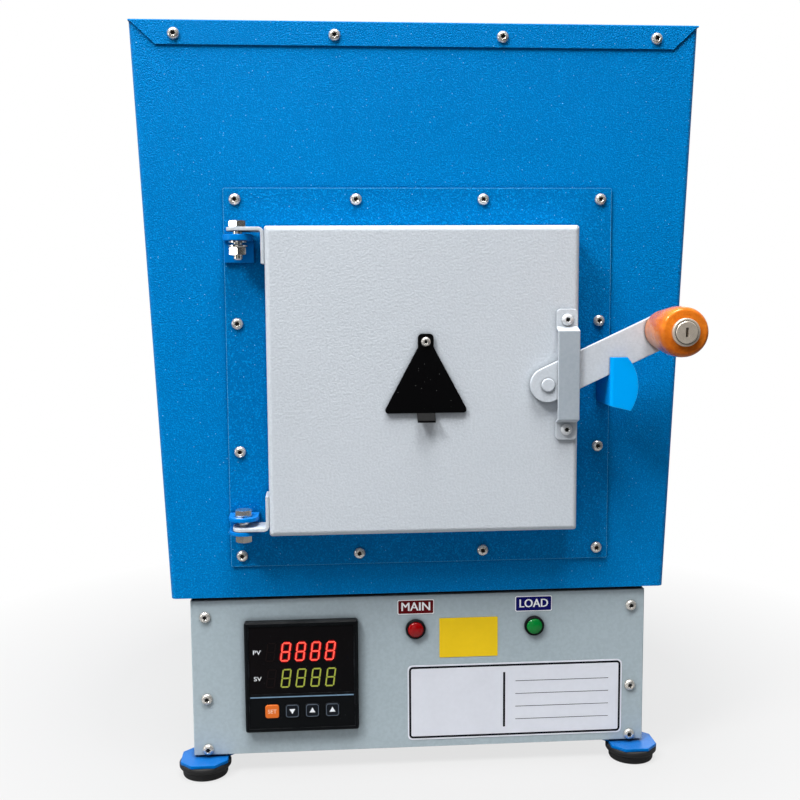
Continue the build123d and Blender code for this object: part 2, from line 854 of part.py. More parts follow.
def door_board():
    """Fibre board that fills the pan around the plug."""
    width = door_width - 2 * sheet - 2 * board_clearance
    height = door_height - 2 * sheet - 2 * board_clearance
    shape = facing(Pos(0, axis_z) * Rectangle(width, height), door_front + sheet, door_back - sheet)
    half = plug_size / 2 + board_clearance
    return shape - slab(-half, half, door_front, door_back, axis_z - half, axis_z + half)


def door_plug():
    """The refractory block that closes the throat, tapered so that it swings clear."""
    straight = facing(Pos(0, axis_z) * Rectangle(plug_size, plug_size), door_front + sheet, frame_front)
    lean = degrees(atan2((plug_size - plug_tip_size) / 2, plug_reach))
    tip = extrude(-Plane.XZ.offset(-frame_front) * Pos(0, -axis_z) * Rectangle(plug_size, plug_size),
                  amount=plug_reach, taper=lean)
    hole = stud_y(sight_radius + sight_tube_wall + seat_gap, sight_x, axis_z - sight_drop,
                  door_front, frame_front + plug_reach + 1)
    return straight + tip - hole


def sight_tube():
    z = axis_z - sight_drop
    back = frame_front + plug_reach
    tube = stud_y(sight_radius + sight_tube_wall, sight_x, z, door_front + sheet, back)
    return tube - stud_y(sight_radius, sight_x, z, door_front, back + 1)


def door_seal():
    """Square loop of ceramic rope between the door and the frame plate."""
    size = plug_size + 2 * seal_margin
    outer = rounded(size + 2 * seal_width, size + 2 * seal_width, seal_width)
    ring = outer - Rectangle(size, size)
    return facing(Pos(0, axis_z) * ring, door_back, frame_front - seat_gap)


# ---- Hinges ----
upper_ear_low = axis_z + door_height / 2 - upper_ear_inset
upper_ear_high = upper_ear_low + plate
lower_ear_low = axis_z - door_height / 2 + lower_ear_inset
lower_ear_high = lower_ear_low + plate
upper_bracket_high = upper_ear_low - upper_ear_space
upper_bracket_low = upper_bracket_high - upper_bracket_ear
clevis_low_high = lower_ear_low - seat_gap
clevis_low_low = clevis_low_high - hinge_ear_thickness
clevis_high_low = lower_ear_high + lower_ear_space
clevis_high_high = clevis_high_low + hinge_ear_thickness


def bracket_ear(z_low, z_high):
    """A rounded ear that stands out from the frame plate to the hinge axis."""
    round_end = Pos(hinge_x, hinge_y) * Circle(hinge_ear_radius)
    root = Pos(hinge_x, (hinge_y + frame_front) / 2) * Rectangle(
        2 * hinge_ear_radius, frame_front - hinge_y)
    shape = level(round_end + root, z_low, z_high)
    return shape - rod_z(hinge_pin_radius + pin_clearance, hinge_x, hinge_y, z_low - 1, z_high + 1)


def bracket_flange_plate(z_low, z_high):
    return slab(hinge_x - hinge_ear_radius, hinge_x + hinge_ear_radius,
                frame_front - hinge_ear_thickness, frame_front, z_low, z_high)


def bracket_folds(shape, *levels):
    """Rounds the outer corners where ears are folded from the flange, at the given heights."""
    folds = [e for e in shape.edges() if abs(e.center().Y - frame_front) < 0.01
             and e.length > hinge_ear_radius and min(abs(e.center().Z - z) for z in levels) < 0.01]
    return fillet(folds, bracket_bend)


def hinge_brackets():
    """Upper angle bracket and lower clevis, both on the frame plate."""
    upper = bracket_ear(upper_bracket_low, upper_bracket_high)
    upper += bracket_flange_plate(upper_bracket_high - bracket_flange, upper_bracket_high)
    lower = bracket_ear(clevis_low_low, clevis_low_high)
    lower += bracket_ear(clevis_high_low, clevis_high_high)
    lower += bracket_flange_plate(clevis_low_low, clevis_high_high)
    return Compound([bracket_folds(upper, upper_bracket_high),
                     bracket_folds(lower, clevis_low_low, clevis_high_high)])


def hex_head(z_low, z_high):
    return level(Pos(hinge_x, hinge_y) * hexagon(bolt_head_across), z_low, z_high)


def hinge_bolts():
    """Both pivot bolts, each with its head on top."""
    upper_seat = upper_ear_high + seat_gap
    upper_tip = upper_bracket_low - washer_thickness - lock_nut_height - bolt_tip
    upper = hex_head(upper_seat, upper_seat + bolt_head_height)
    upper += rod_z(hinge_pin_radius, hinge_x, hinge_y, upper_tip, upper_seat)
    lower_tip = clevis_low_low - nut_height - lower_bolt_tip
    lower = hex_head(clevis_high_high, clevis_high_high + bolt_head_height)
    lower += rod_z(hinge_pin_radius, hinge_x, hinge_y, lower_tip, clevis_high_high)
    return Compound([upper, lower])


def hinge_nuts():
    """The nuts under both brackets and the upper one's washer."""
    bore_radius = hinge_pin_radius + pin_clearance
    upper_high = upper_bracket_low - washer_thickness
    washer = rod_z(washer_radius, hinge_x, hinge_y, upper_high, upper_bracket_low)
    upper = washer + hex_head(upper_high - lock_nut_height, upper_high)
    upper -= rod_z(bore_radius, hinge_x, hinge_y, upper_high - lock_nut_height - 1,
                   upper_bracket_low + 1)
    lower = hex_head(clevis_low_low - nut_height, clevis_low_low)
    lower -= rod_z(bore_radius, hinge_x, hinge_y, clevis_low_low - nut_height - 1, clevis_low_low + 1)
    return Compound([upper, lower])


def door_ear(z_low, z_high, flange_low, flange_high):
    """A white angle: its ear turns on the bolt, its flange is fixed to the door's side."""
    side = -door_width / 2
    end = hinge_x - door_ear_end
    y_low = hinge_y - door_ear_width / 2
    y_high = hinge_y + door_ear_width / 2
    ear = slab(end, side, y_low, y_high, z_low, z_high)
    ear = fillet([e for e in ear.edges() if abs(e.center().X - end) < 0.01
                  and abs(e.center().Z - (z_low + z_high) / 2) < 0.01], door_ear_corner)
    ear += slab(side - plate, side, y_low, y_high, flange_low, flange_high)
    outer_z, inner_z = (z_high, z_low) if flange_high == z_high else (z_low, z_high)
    ear = fillet([e for e in ear.edges() if abs(e.center().X - side) < 0.01
                  and abs(e.center().Z - outer_z) < 0.01], plate + door_ear_bend)
    ear = fillet([e for e in ear.edges() if abs(e.center().X - side + plate) < 0.01
                  and abs(e.center().Z - inner_z) < 0.01], door_ear_bend)
    return ear - rod_z(hinge_pin_radius + pin_clearance, hinge_x, hinge_y, z_low - 1, z_high + 1)


def door_ears():
    upper = door_ear(upper_ear_low, upper_ear_high, upper_ear_high - door_ear_flange, upper_ear_high)
    lower = door_ear(lower_ear_low, lower_ear_high, lower_ear_low, lower_ear_low + door_ear_flange)
    return Compound([upper, lower])


# ---- Latch ----
def strap_bracket():
    """A joggled strap that guides the lever and stops it at the top of its lift."""
    rise = door_front - strap_inside
    half = strap_length / 2
    open_half = strap_opening / 2
    z = strap_middle_z
    inner = [(0, -half), (0, -open_half - strap_ramp), (-rise, -open_half), (-rise, open_half),
             (0, open_half + strap_ramp), (0, half)]
    shift = strap_thickness
    outer = [(-shift, half), (-shift, open_half + strap_ramp + shift / 2),
             (-rise - shift, open_half + shift / 2), (-rise - shift, -open_half - shift / 2),
             (-shift, -open_half - strap_ramp - shift / 2), (-shift, -half)]
    side = outline(*[(y + door_front, dz + z) for y, dz in inner + outer])
    shape = across(side, strap_x - strap_width / 2, strap_width)
    ends = [e for e in shape.edges() if abs(abs(e.center().Z - z) - half) < 0.01
            and abs(e.bounding_box().size.Y - strap_thickness) < 0.01]
    shape = fillet(ends, strap_corner)
    return shape - holes_at(strap_screw_spots, door_front - strap_thickness, door_front)


def lever_pin():
    """Shouldered pivot fixed in the door, with a washer behind the lever."""
    x, z = lever_pivot_x, lever_pivot_z
    head_back = lever_front - seat_gap
    head_front = head_back - lever_pin_head
    washer = stud_y(lever_washer_radius, x, z, lever_back + seat_gap, door_front)
    shank = rod_y(lever_pin_radius, x, z, head_back, door_front)
    head = stud_y(lever_pin_head_radius, x, z, head_front, head_back)
    return washer + shank + front_chamfered(head, head_front, lever_pin_chamfer)


def lever_bar():
    bar = Pos(lever_pivot_x, lever_pivot_z) * Rot(0, 0, lever_angle) * Pos(
        lever_reach / 2, 0) * SlotCenterToCenter(lever_reach, lever_width)
    shape = facing(bar, lever_front, lever_back)
    return shape - rod_y(lever_pin_radius + pin_clearance, lever_pivot_x, lever_pivot_z,
                         lever_front - 1, lever_back + 1)


def latch_keeper():
    """A hook: the lever drops behind its front flange and rests on its web."""
    z = axis_z
    near, far = keeper_x, keeper_x + plate
    slope = tan(radians(lever_angle))
    under_lever = (lever_pivot_z + (near - lever_pivot_x) * slope
                   - lever_width / 2 / cos(radians(lever_angle)) - seat_gap)
    face = lever_front - lever_run_gap
    web = slab(near, far, face - plate, frame_front, z - keeper_low, under_lever)
    base = slab(near, near + keeper_base, frame_front - plate, frame_front, z - keeper_low, under_lever)
    top = z + keeper_flange_top
    tip = z - keeper_flange_tip
    curve = ThreePointArc((near + keeper_flange_width, top),
                          (near + keeper_flange_belly, (top + tip) / 2),
                          (near + keeper_flange_tail, tip))
    rim = Polyline((near + keeper_flange_tail, tip), (near, z - keeper_low),
                   (near, top), (near + keeper_flange_width, top))
    flange = facing(make_face(curve.edges() + rim.edges()), face - plate, face)
    hook = web + base + flange
    fold = [e for e in hook.edges() if abs(e.center().X - near) < 0.01
            and abs(e.center().Y - face + plate) < 0.01]
    return fillet(fold, keeper_bend)


# ---- Knob and its lock ----
def knob():
    """A turned barrel grip, bellied towards the front, with its edge rounded over."""
    rings = ((0, knob_back_radius), (knob_length * knob_waist_share, knob_waist_radius),
             (knob_length * knob_belly_share, knob_belly_radius),
             (knob_length - knob_round, knob_front_radius),
             (knob_length - knob_round * 0.3, knob_front_radius - knob_round * 0.3),
             (knob_length, knob_front_radius - knob_round))
    sections = [Plane.XZ.offset(depth - lever_front) * Pos(knob_x, knob_z)
                * RegularPolygon(radius, knob_sides) for depth, radius in rings]
    grip = loft(sections, ruled=True)
    return grip - stud_y(lock_body_radius + pin_clearance, knob_x, knob_z, knob_front - 1,
                         knob_front + lock_depth)


def lock_barrel():
    """Nickel barrel with its flange ring, bored for the key plug."""
    ring_front = knob_front - lock_ring_height
    ring = stud_y(lock_ring_radius, knob_x, knob_z, ring_front, knob_front)
    barrel = stud_y(lock_body_radius, knob_x, knob_z, knob_front, knob_front + lock_depth - seat_gap)
    bore = rod_y(plug_radius + pin_clearance, knob_x, knob_z, ring_front - 1,
                 knob_front + lock_depth - lock_floor)
    return front_chamfered(ring, ring_front, lock_ring_chamfer) + barrel - bore


def lock_plug():
    """The turning plug with its upright key slot."""
    shape = rod_y(plug_radius, knob_x, knob_z, plug_front,
                  knob_front + lock_depth - lock_floor - seat_gap)
    shape = front_chamfered(shape, plug_front, lock_plug_chamfer)
    slot = slab(knob_x - key_slot_width / 2, knob_x + key_slot_width / 2, plug_front - 1,
                plug_front + key_slot_depth, knob_z - key_slot_height / 2, knob_z + key_slot_height / 2)
    return shape - slot


# ---- Sight-hole cover ----
cover_pivot_z = axis_z + cover_pivot_rise
cover_back = door_front - cover_washer - seat_gap / 2
cover_front = cover_back - cover_thickness


def sight_cover():
    """A hanging triangle with a rounded top tab and a turned-out finger tab."""
    x, z = sight_x, cover_pivot_z
    bottom = z - cover_drop
    face = outline((x - cover_half_width, bottom), (x + cover_half_width, bottom),
                   (x + cover_tab_half, z - cover_tab_low), (x - cover_tab_half, z - cover_tab_low))
    shape = facing(face, cover_front, cover_back)
    corners = [e for e in shape.edges() if abs(e.center().Z - bottom) < 0.01
               and abs(abs(e.center().X - x) - cover_half_width) < 0.01]
    shape = fillet(corners, cover_corner)
    tab = slab(x - cover_tab_half, x + cover_tab_half, cover_front, cover_back,
               z - cover_tab_low, z + cover_tab_top)
    tab = fillet([e for e in tab.edges() if abs(e.center().Z - z - cover_tab_top) < 0.01
                  and abs(abs(e.center().X - x) - cover_tab_half) < 0.01], cover_tab_half * 0.55)
    lean = outline((cover_back, bottom), (cover_front, bottom),
                   (cover_front - finger_reach, bottom - finger_reach),
                   (cover_front - finger_reach, bottom - finger_reach - finger_thickness),
                   (cover_front - finger_reach + finger_thickness / 2,
                    bottom - finger_reach - finger_thickness))
    finger = across(lean, x - finger_width / 2, finger_width)
    shape = shape + tab + finger
    return shape - rod_y(cover_pin_radius + pin_clearance, x, z, cover_front - 1, cover_back + 1)


def cover_screw():
    """The screw that the cover hangs on, with the washer behind the cover."""
    x, z = sight_x, cover_pivot_z
    head_back = cover_front - seat_gap / 2
    head_front = head_back - cover_screw_height
    head = stud_y(cover_screw_head, x, z, head_front, head_back)
    washer = stud_y(cover_washer_radius, x, z, door_front - cover_washer, door_front)
    shank = rod_y(cover_pin_radius, x, z, head_back, door_front)
    return front_chamfered(head, head_front, cover_screw_chamfer) + washer + shank


# ---- Every piece, by node name ----
def feet_groups():
    return {
        "foot_rubbers": Compound([rubber_foot(x, y) for x, y, _, _ in foot_spots]),
        "foot_plates": Compound([foot_plate(*spot) for spot in foot_spots]),
        "foot_packings": Compound([foot_packing_strip(*spot) for spot in foot_spots]),
        "foot_screws": Compound([foot_screw(*foot_screw_spot(*spot)) for spot in foot_spots]),
    }


def control_box_pieces():
    pieces = {
        "control_box_shell": control_box_shell(),
        "control_front_panel": control_front_panel(),
        "front_panel_screws": screws_at(panel_screw_spots, 0, sheet),
        "control_rear_panel": control_rear_panel(),
        "controller_case": controller_case(),
        "controller_window": controller_window(),
        "controller_clamps": controller_clamps(),
        "lamp_bodies": Compound([lamp_body(x, z) for x, z in lamp_spots]),
        "red_lens": lamp_lens(*lamp_spots[0]),
        "green_lens": lamp_lens(*lamp_spots[1]),
        "heatsink": heatsink(),
        "solid_state_relay": relay(),
        "terminal_block": terminal_block(),
        "cable_gland": Compound([cable_gland(), gland_nut()]),
    }
    for index, name in enumerate(("key_set", "key_shift", "key_down", "key_up")):
        pieces[name] = controller_key(index)
    return pieces


def body_pieces():
    return {
        "body_shell": body_shell(),
        "body_floor": body_floor(),
        "top_cover": top_cover(),
        "lip_screws": screws_at(lip_screw_spots, body_front - sheet, sheet),
        "back_panel": back_panel(),
        "rear_screws": Compound([rear_screws_at(back_screw_spots, body_back, sheet),
                                 rear_screws_at(rear_screw_spots, box_depth, sheet)]),
        "body_gasket": body_gasket(),
        "frame_plate": frame_plate(),
        "frame_screws": screws_at(frame_screw_spots, frame_front, frame_thickness),
        "front_board": front_board(),
        "rear_board": rear_board(),
        "base_board": base_board(),
        "top_board": top_board(),
        "side_boards": side_boards(),
        "muffle": muffle(),
        "heater_winding": heater_winding(),
        "thermocouple": Compound([thermocouple_sheath(), thermocouple_head()]),
        "heater_terminals": heater_terminals(),
        "hinge_brackets": hinge_brackets(),
        "hinge_bolts": hinge_bolts(),
        "hinge_nuts": hinge_nuts(),
        "latch_keeper": latch_keeper(),
    }


def door_pieces():
    return {
        "door_pan": door_pan(),
        "door_back_plate": door_back_plate(),
        "door_board": door_board(),
        "door_plug": door_plug(),
        "sight_tube": sight_tube(),
        "door_seal": door_seal(),
        "door_ears": door_ears(),
        "strap_bracket": strap_bracket(),
        "strap_screws": screws_at(strap_screw_spots, door_front - strap_thickness,
                                  strap_thickness + sheet),
        "lever_pin": lever_pin(),
        "cover_screw": cover_screw(),
        "sight_cover": sight_cover(),
        "lever_bar": lever_bar(),
        "knob": knob(),
        "lock_barrel": lock_barrel(),
        "lock_plug": lock_plug(),
    }


os.makedirs("parts", exist_ok=True)
for group in (feet_groups(), control_box_pieces(), body_pieces(), door_pieces()):
    for name, shape in group.items():
        export_step(Pos(0, -middle_y, 0) * shape, f"parts/{name}.step")
print("origin is at y =", round(middle_y, 3), "of the layout")
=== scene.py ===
import math
import bpy
import bmesh
from mathutils import Matrix, Vector


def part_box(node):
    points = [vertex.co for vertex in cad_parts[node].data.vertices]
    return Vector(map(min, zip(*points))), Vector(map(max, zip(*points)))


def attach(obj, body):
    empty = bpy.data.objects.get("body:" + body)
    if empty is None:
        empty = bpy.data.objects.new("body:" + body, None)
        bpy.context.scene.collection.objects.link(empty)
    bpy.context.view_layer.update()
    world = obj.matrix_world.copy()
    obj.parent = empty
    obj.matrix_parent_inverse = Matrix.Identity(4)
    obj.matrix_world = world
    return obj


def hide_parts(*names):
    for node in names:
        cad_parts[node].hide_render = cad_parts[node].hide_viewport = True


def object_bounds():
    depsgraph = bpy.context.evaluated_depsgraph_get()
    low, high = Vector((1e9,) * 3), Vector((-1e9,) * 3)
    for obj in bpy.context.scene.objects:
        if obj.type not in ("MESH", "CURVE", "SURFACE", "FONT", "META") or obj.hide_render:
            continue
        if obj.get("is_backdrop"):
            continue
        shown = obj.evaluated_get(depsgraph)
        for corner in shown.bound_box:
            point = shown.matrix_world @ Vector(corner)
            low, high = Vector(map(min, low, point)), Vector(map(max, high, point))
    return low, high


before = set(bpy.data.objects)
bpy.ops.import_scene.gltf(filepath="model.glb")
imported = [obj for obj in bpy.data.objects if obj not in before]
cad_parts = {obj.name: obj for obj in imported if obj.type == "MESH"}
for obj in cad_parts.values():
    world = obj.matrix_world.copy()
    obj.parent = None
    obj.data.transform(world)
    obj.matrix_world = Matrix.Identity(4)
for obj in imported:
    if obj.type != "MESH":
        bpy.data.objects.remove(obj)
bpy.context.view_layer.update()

mm = 0.001
print("frame loaded")


def at(x, y, z):
    # millimetres to a point in metres
    return Vector((x * mm, y * mm, z * mm))


def paint(red, green, blue):
    # screen colour to the shader's linear colour
    channels = []
    for value in (red, green, blue):
        share = value / 255
        channels.append(share / 12.92 if share <= 0.04045 else ((share + 0.055) / 1.055) ** 2.4)
    return (*channels, 1.0)


def addNode(tree, kind, inputs=None, **options):
    node = tree.nodes.new(kind)
    for name, value in options.items():
        setattr(node, name, value)
    for name, value in (inputs or {}).items():
        if isinstance(value, bpy.types.NodeSocket):
            tree.links.new(value, node.inputs[name])
        else:
            node.inputs[name].default_value = value
    return node


def mixColour(tree, share, first, second):
    node = addNode(tree, "ShaderNodeMix", data_type="RGBA")
    for index, value in ((0, share), (6, first), (7, second)):
        if isinstance(value, bpy.types.NodeSocket):
            tree.links.new(value, node.inputs[index])
        else:
            node.inputs[index].default_value = value
    return node.outputs[2]


def sums(tree, operation, first, second=0.5, clamp=False):
    node = addNode(tree, "ShaderNodeMath", {0: first, 1: second}, operation=operation, use_clamp=clamp)
    return node.outputs[0]


def ramp(tree, value, low, high, lowOut=0.0, highOut=1.0):
    node = addNode(tree, "ShaderNodeMapRange", {
        "Value": value, "From Min": low, "From Max": high, "To Min": lowOut, "To Max": highOut})
    return node.outputs[0]


def noise(tree, place, scale, detail, roughness=0.5, distortion=0.0):
    node = addNode(tree, "ShaderNodeTexNoise", {
        "Vector": place, "Scale": scale, "Detail": detail, "Roughness": roughness,
        "Distortion": distortion})
    return node.outputs[0]


def product(tree, first, second, clamp=False):
    return sums(tree, "MULTIPLY", first, second, clamp)


def newGroup(name, inputs, outputs):
    tree = bpy.data.node_groups.new(name, "ShaderNodeTree")
    for label, value in inputs.items():
        kind = "NodeSocketVector" if isinstance(value, tuple) else "NodeSocketFloat"
        socket = tree.interface.new_socket(name=label, in_out="INPUT", socket_type=kind)
        socket.default_value = value
    for label in outputs:
        tree.interface.new_socket(name=label, in_out="OUTPUT", socket_type="NodeSocketFloat")
    return tree, tree.nodes.new("NodeGroupInput").outputs, tree.nodes.new("NodeGroupOutput")


# the skin of a sprayed or moulded surface: waviness, fine grain and slow changes of tone
def skinGroup():
    tree, given, result = newGroup("surfaceSkin", {
        "Wave Scale": 500.0, "Grain Scale": 1800.0, "Tone Scale": 8.0, "Stretch": (1.0, 1.0, 1.0)},
        ("Height", "Grain", "Tone"))
    place = addNode(tree, "ShaderNodeTexCoord").outputs["Object"]
    turned = addNode(tree, "ShaderNodeMapping", {"Vector": place, "Scale": given["Stretch"]}).outputs[0]
    wave = noise(tree, turned, given["Wave Scale"], 2.0, 0.45)
    grain = noise(tree, turned, given["Grain Scale"], 2.0)
    tone = noise(tree, place, given["Tone Scale"], 4.0, 0.6)
    height = sums(tree, "ADD", product(tree, wave, 0.75), product(tree, grain, 0.25))
    tree.links.new(height, result.inputs["Height"])
    tree.links.new(grain, result.inputs["Grain"])
    tree.links.new(ramp(tree, tone, 0.3, 0.7), result.inputs["Tone"])
    return tree


# where corners are rubbed, and where a painted highlight lies along them: a mask along the edges, broken up
# by patches, which Even turns into an unbroken painted edge highlight
def rubAndHighlightGroup():
    tree, given, result = newGroup("cornerRubAndHighlight", {
        "Width": 0.0006, "Patch Scale": 60.0, "Amount": 0.5, "Even": 0.0}, ("Mask",))
    rounded = addNode(tree, "ShaderNodeBevel", {"Radius": given["Width"]}, samples=4).outputs[0]
    flat = addNode(tree, "ShaderNodeNewGeometry").outputs["Normal"]
    facing = addNode(tree, "ShaderNodeVectorMath", {0: rounded, 1: flat}, operation="DOT_PRODUCT")
    edge = ramp(tree, facing.outputs["Value"], 0.99, 0.86)
    place = addNode(tree, "ShaderNodeTexCoord").outputs["Object"]
    patch = noise(tree, place, given["Patch Scale"], 5.0, 0.65)
    broken = sums(tree, "MAXIMUM", ramp(tree, patch, 0.45, 0.62), given["Even"])
    mask = product(tree, product(tree, edge, broken), given["Amount"], clamp=True)
    tree.links.new(mask, result.inputs["Mask"])
    return tree


# dust that settles on upward faces, with a few loose specks anywhere; in a light colour the specks are
# painted glints and the veil a painted lighter top
def dustAndGlintGroup():
    tree, given, result = newGroup("settledDustAndGlints", {
        "Veil": 0.1, "Specks": 0.3, "Speck Scale": 300.0}, ("Mask",))
    place = addNode(tree, "ShaderNodeTexCoord").outputs["Object"]
    normal = addNode(tree, "ShaderNodeNewGeometry").outputs["Normal"]
    upward = ramp(tree, addNode(tree, "ShaderNodeSeparateXYZ", {0: normal}).outputs["Z"], 0.1, 0.9)
    cloud = noise(tree, place, 45.0, 6.0)
    veil = product(tree, product(tree, upward, ramp(tree, cloud, 0.3, 0.75)), given["Veil"])
    cells = addNode(tree, "ShaderNodeTexVoronoi", {"Vector": place, "Scale": given["Speck Scale"]})
    dot = ramp(tree, cells.outputs["Distance"], 0.16, 0.06)
    chance = addNode(tree, "ShaderNodeSeparateXYZ", {0: cells.outputs["Color"]}).outputs["X"]
    kept = sums(tree, "GREATER_THAN", chance, 0.86)
    speck = product(tree, product(tree, dot, kept), given["Specks"])
    tree.links.new(sums(tree, "MAXIMUM", veil, speck), result.inputs["Mask"])
    return tree


# painted shade where a face meets another: round screws, under lips and beside plates
def paintedShadeGroup():
    tree, given, result = newGroup("paintedCreviceShade", {"Reach": 0.004, "Amount": 0.6}, ("Mask",))
    meeting = addNode(tree, "ShaderNodeAmbientOcclusion", {"Distance": given["Reach"]}, samples=6)
    closed = ramp(tree, meeting.outputs["AO"], 0.95, 0.35)
    tree.links.new(product(tree, closed, given["Amount"], clamp=True), result.inputs["Mask"])
    return tree


groups = {"skin": skinGroup(), "rubAndHighlight": rubAndHighlightGroup(), "dustAndGlint": dustAndGlintGroup(), "paintedShade": paintedShadeGroup()}
print("shader groups built")


def startMaterial(name):
    material = bpy.data.materials.new(name)
    material.use_nodes = True
    tree = material.node_tree
    tree.nodes.clear()
    shader = addNode(tree, "ShaderNodeBsdfPrincipled")
    addNode(tree, "ShaderNodeOutputMaterial", {"Surface": shader.outputs[0]})
    return material, tree, shader


colourKeys = ("base", "shade", "grainAndGlintTone", "rubAndHighlight", "dustAndGlint", "paintedShade", "sheen")
# what a finish has where its own values say nothing, with lengths in millimetres
usualLook = {
    "wave": 500, "grain": 1800, "grainSpan": (0.4, 0.6), "grainShare": 0.1, "toneScale": 8,
    "toneShare": 0.5, "stretch": (1, 1, 1), "depth": 0.04, "rubAndHighlightWidth": 0.5, "rubAndHighlightAmount": 0.5,
    "rubAndHighlightEven": 0, "veil": 0.12, "specks": 0.2, "speckScale": 300, "paintedShadeReach": 5,
    "paintedShadeAmount": 0.7, "metal": 0, "coat": 0, "coatRough": 0.1, "ior": 1.5, "gloss": 0.5,
    "sheen": (1, 1, 1, 1),
}
shaderKeys = {"Metallic": "metal", "Coat Weight": "coat", "Coat Roughness": "coatRough", "IOR": "ior",
              "Specular IOR Level": "gloss", "Specular Tint": "sheen"}


# one finish: its colour, tone, grain, rubbed corners and dust, each with its own values; on some finishes the
# grain tone and dust specks are painted glints, the edge band a painted highlight and the crevice colour
# painted shade
def finish(name, given):
    look = dict(usualLook)
    for key, value in given.items():
        look[key] = paint(*value) if key in colourKeys and len(value) == 3 else value
    material, tree, shader = startMaterial(name)
    skin = addNode(tree, "ShaderNodeGroup", {
        "Wave Scale": look["wave"], "Grain Scale": look["grain"], "Tone Scale": look["toneScale"],
        "Stretch": look["stretch"]}, node_tree=groups["skin"])
    toneShare = product(tree, skin.outputs["Tone"], look["toneShare"])
    colour = mixColour(tree, toneShare, look["base"], look["shade"])
    # grain tone; on the blue coats it is light, a painted glint on the peaks of the orange peel
    grainShare = ramp(tree, skin.outputs["Height"], *look["grainSpan"], 0, look["grainShare"])
    colour = mixColour(tree, grainShare, colour, look.get("grainAndGlintTone", look["shade"]))
    rough = ramp(tree, skin.outputs["Grain"], 0.3, 0.7, *look["rough"])
    # rubbed corners and painted edge highlights: lighter bands on the coats and metals, darker wear on board
    # and ceramic
    if "rubAndHighlight" in look:
        rubAndHighlight = addNode(tree, "ShaderNodeGroup", {
            "Width": look["rubAndHighlightWidth"] * mm, "Amount": look["rubAndHighlightAmount"], "Even": look["rubAndHighlightEven"]},
            node_tree=groups["rubAndHighlight"])
        colour = mixColour(tree, rubAndHighlight.outputs["Mask"], colour, look["rubAndHighlight"])
    # dust, or, in the light blue of the blue coats, painted glints and a painted lighter top
    if "dustAndGlint" in look:
        dustAndGlint = addNode(tree, "ShaderNodeGroup", {
            "Veil": look["veil"], "Specks": look["specks"], "Speck Scale": look["speckScale"]},
            node_tree=groups["dustAndGlint"])
        colour = mixColour(tree, dustAndGlint.outputs["Mask"], colour, look["dustAndGlint"])
        rough = sums(tree, "MAXIMUM", rough, product(tree, dustAndGlint.outputs["Mask"], 0.8))
    # painted shade: the colour darkens where faces close in, where shade falls
    if "paintedShade" in look:
        paintedShade = addNode(tree, "ShaderNodeGroup", {
            "Reach": look["paintedShadeReach"] * mm, "Amount": look["paintedShadeAmount"]},
            node_tree=groups["paintedShade"])
        colour = mixColour(tree, paintedShade.outputs["Mask"], colour, look["paintedShade"])
    tree.links.new(colour, shader.inputs["Base Color"])
    tree.links.new(rough, shader.inputs["Roughness"])
    bump = addNode(tree, "ShaderNodeBump", {
        "Height": skin.outputs["Height"], "Distance": look["depth"] * mm, "Strength": 1})
    tree.links.new(bump.outputs[0], shader.inputs["Normal"])
    for socket, key in shaderKeys.items():
        shader.inputs[socket].default_value = look[key]
    if "glow" in look:
        tree.links.new(colour, shader.inputs["Emission Color"])
        shader.inputs["Emission Strength"].default_value = look["glow"]
    return material
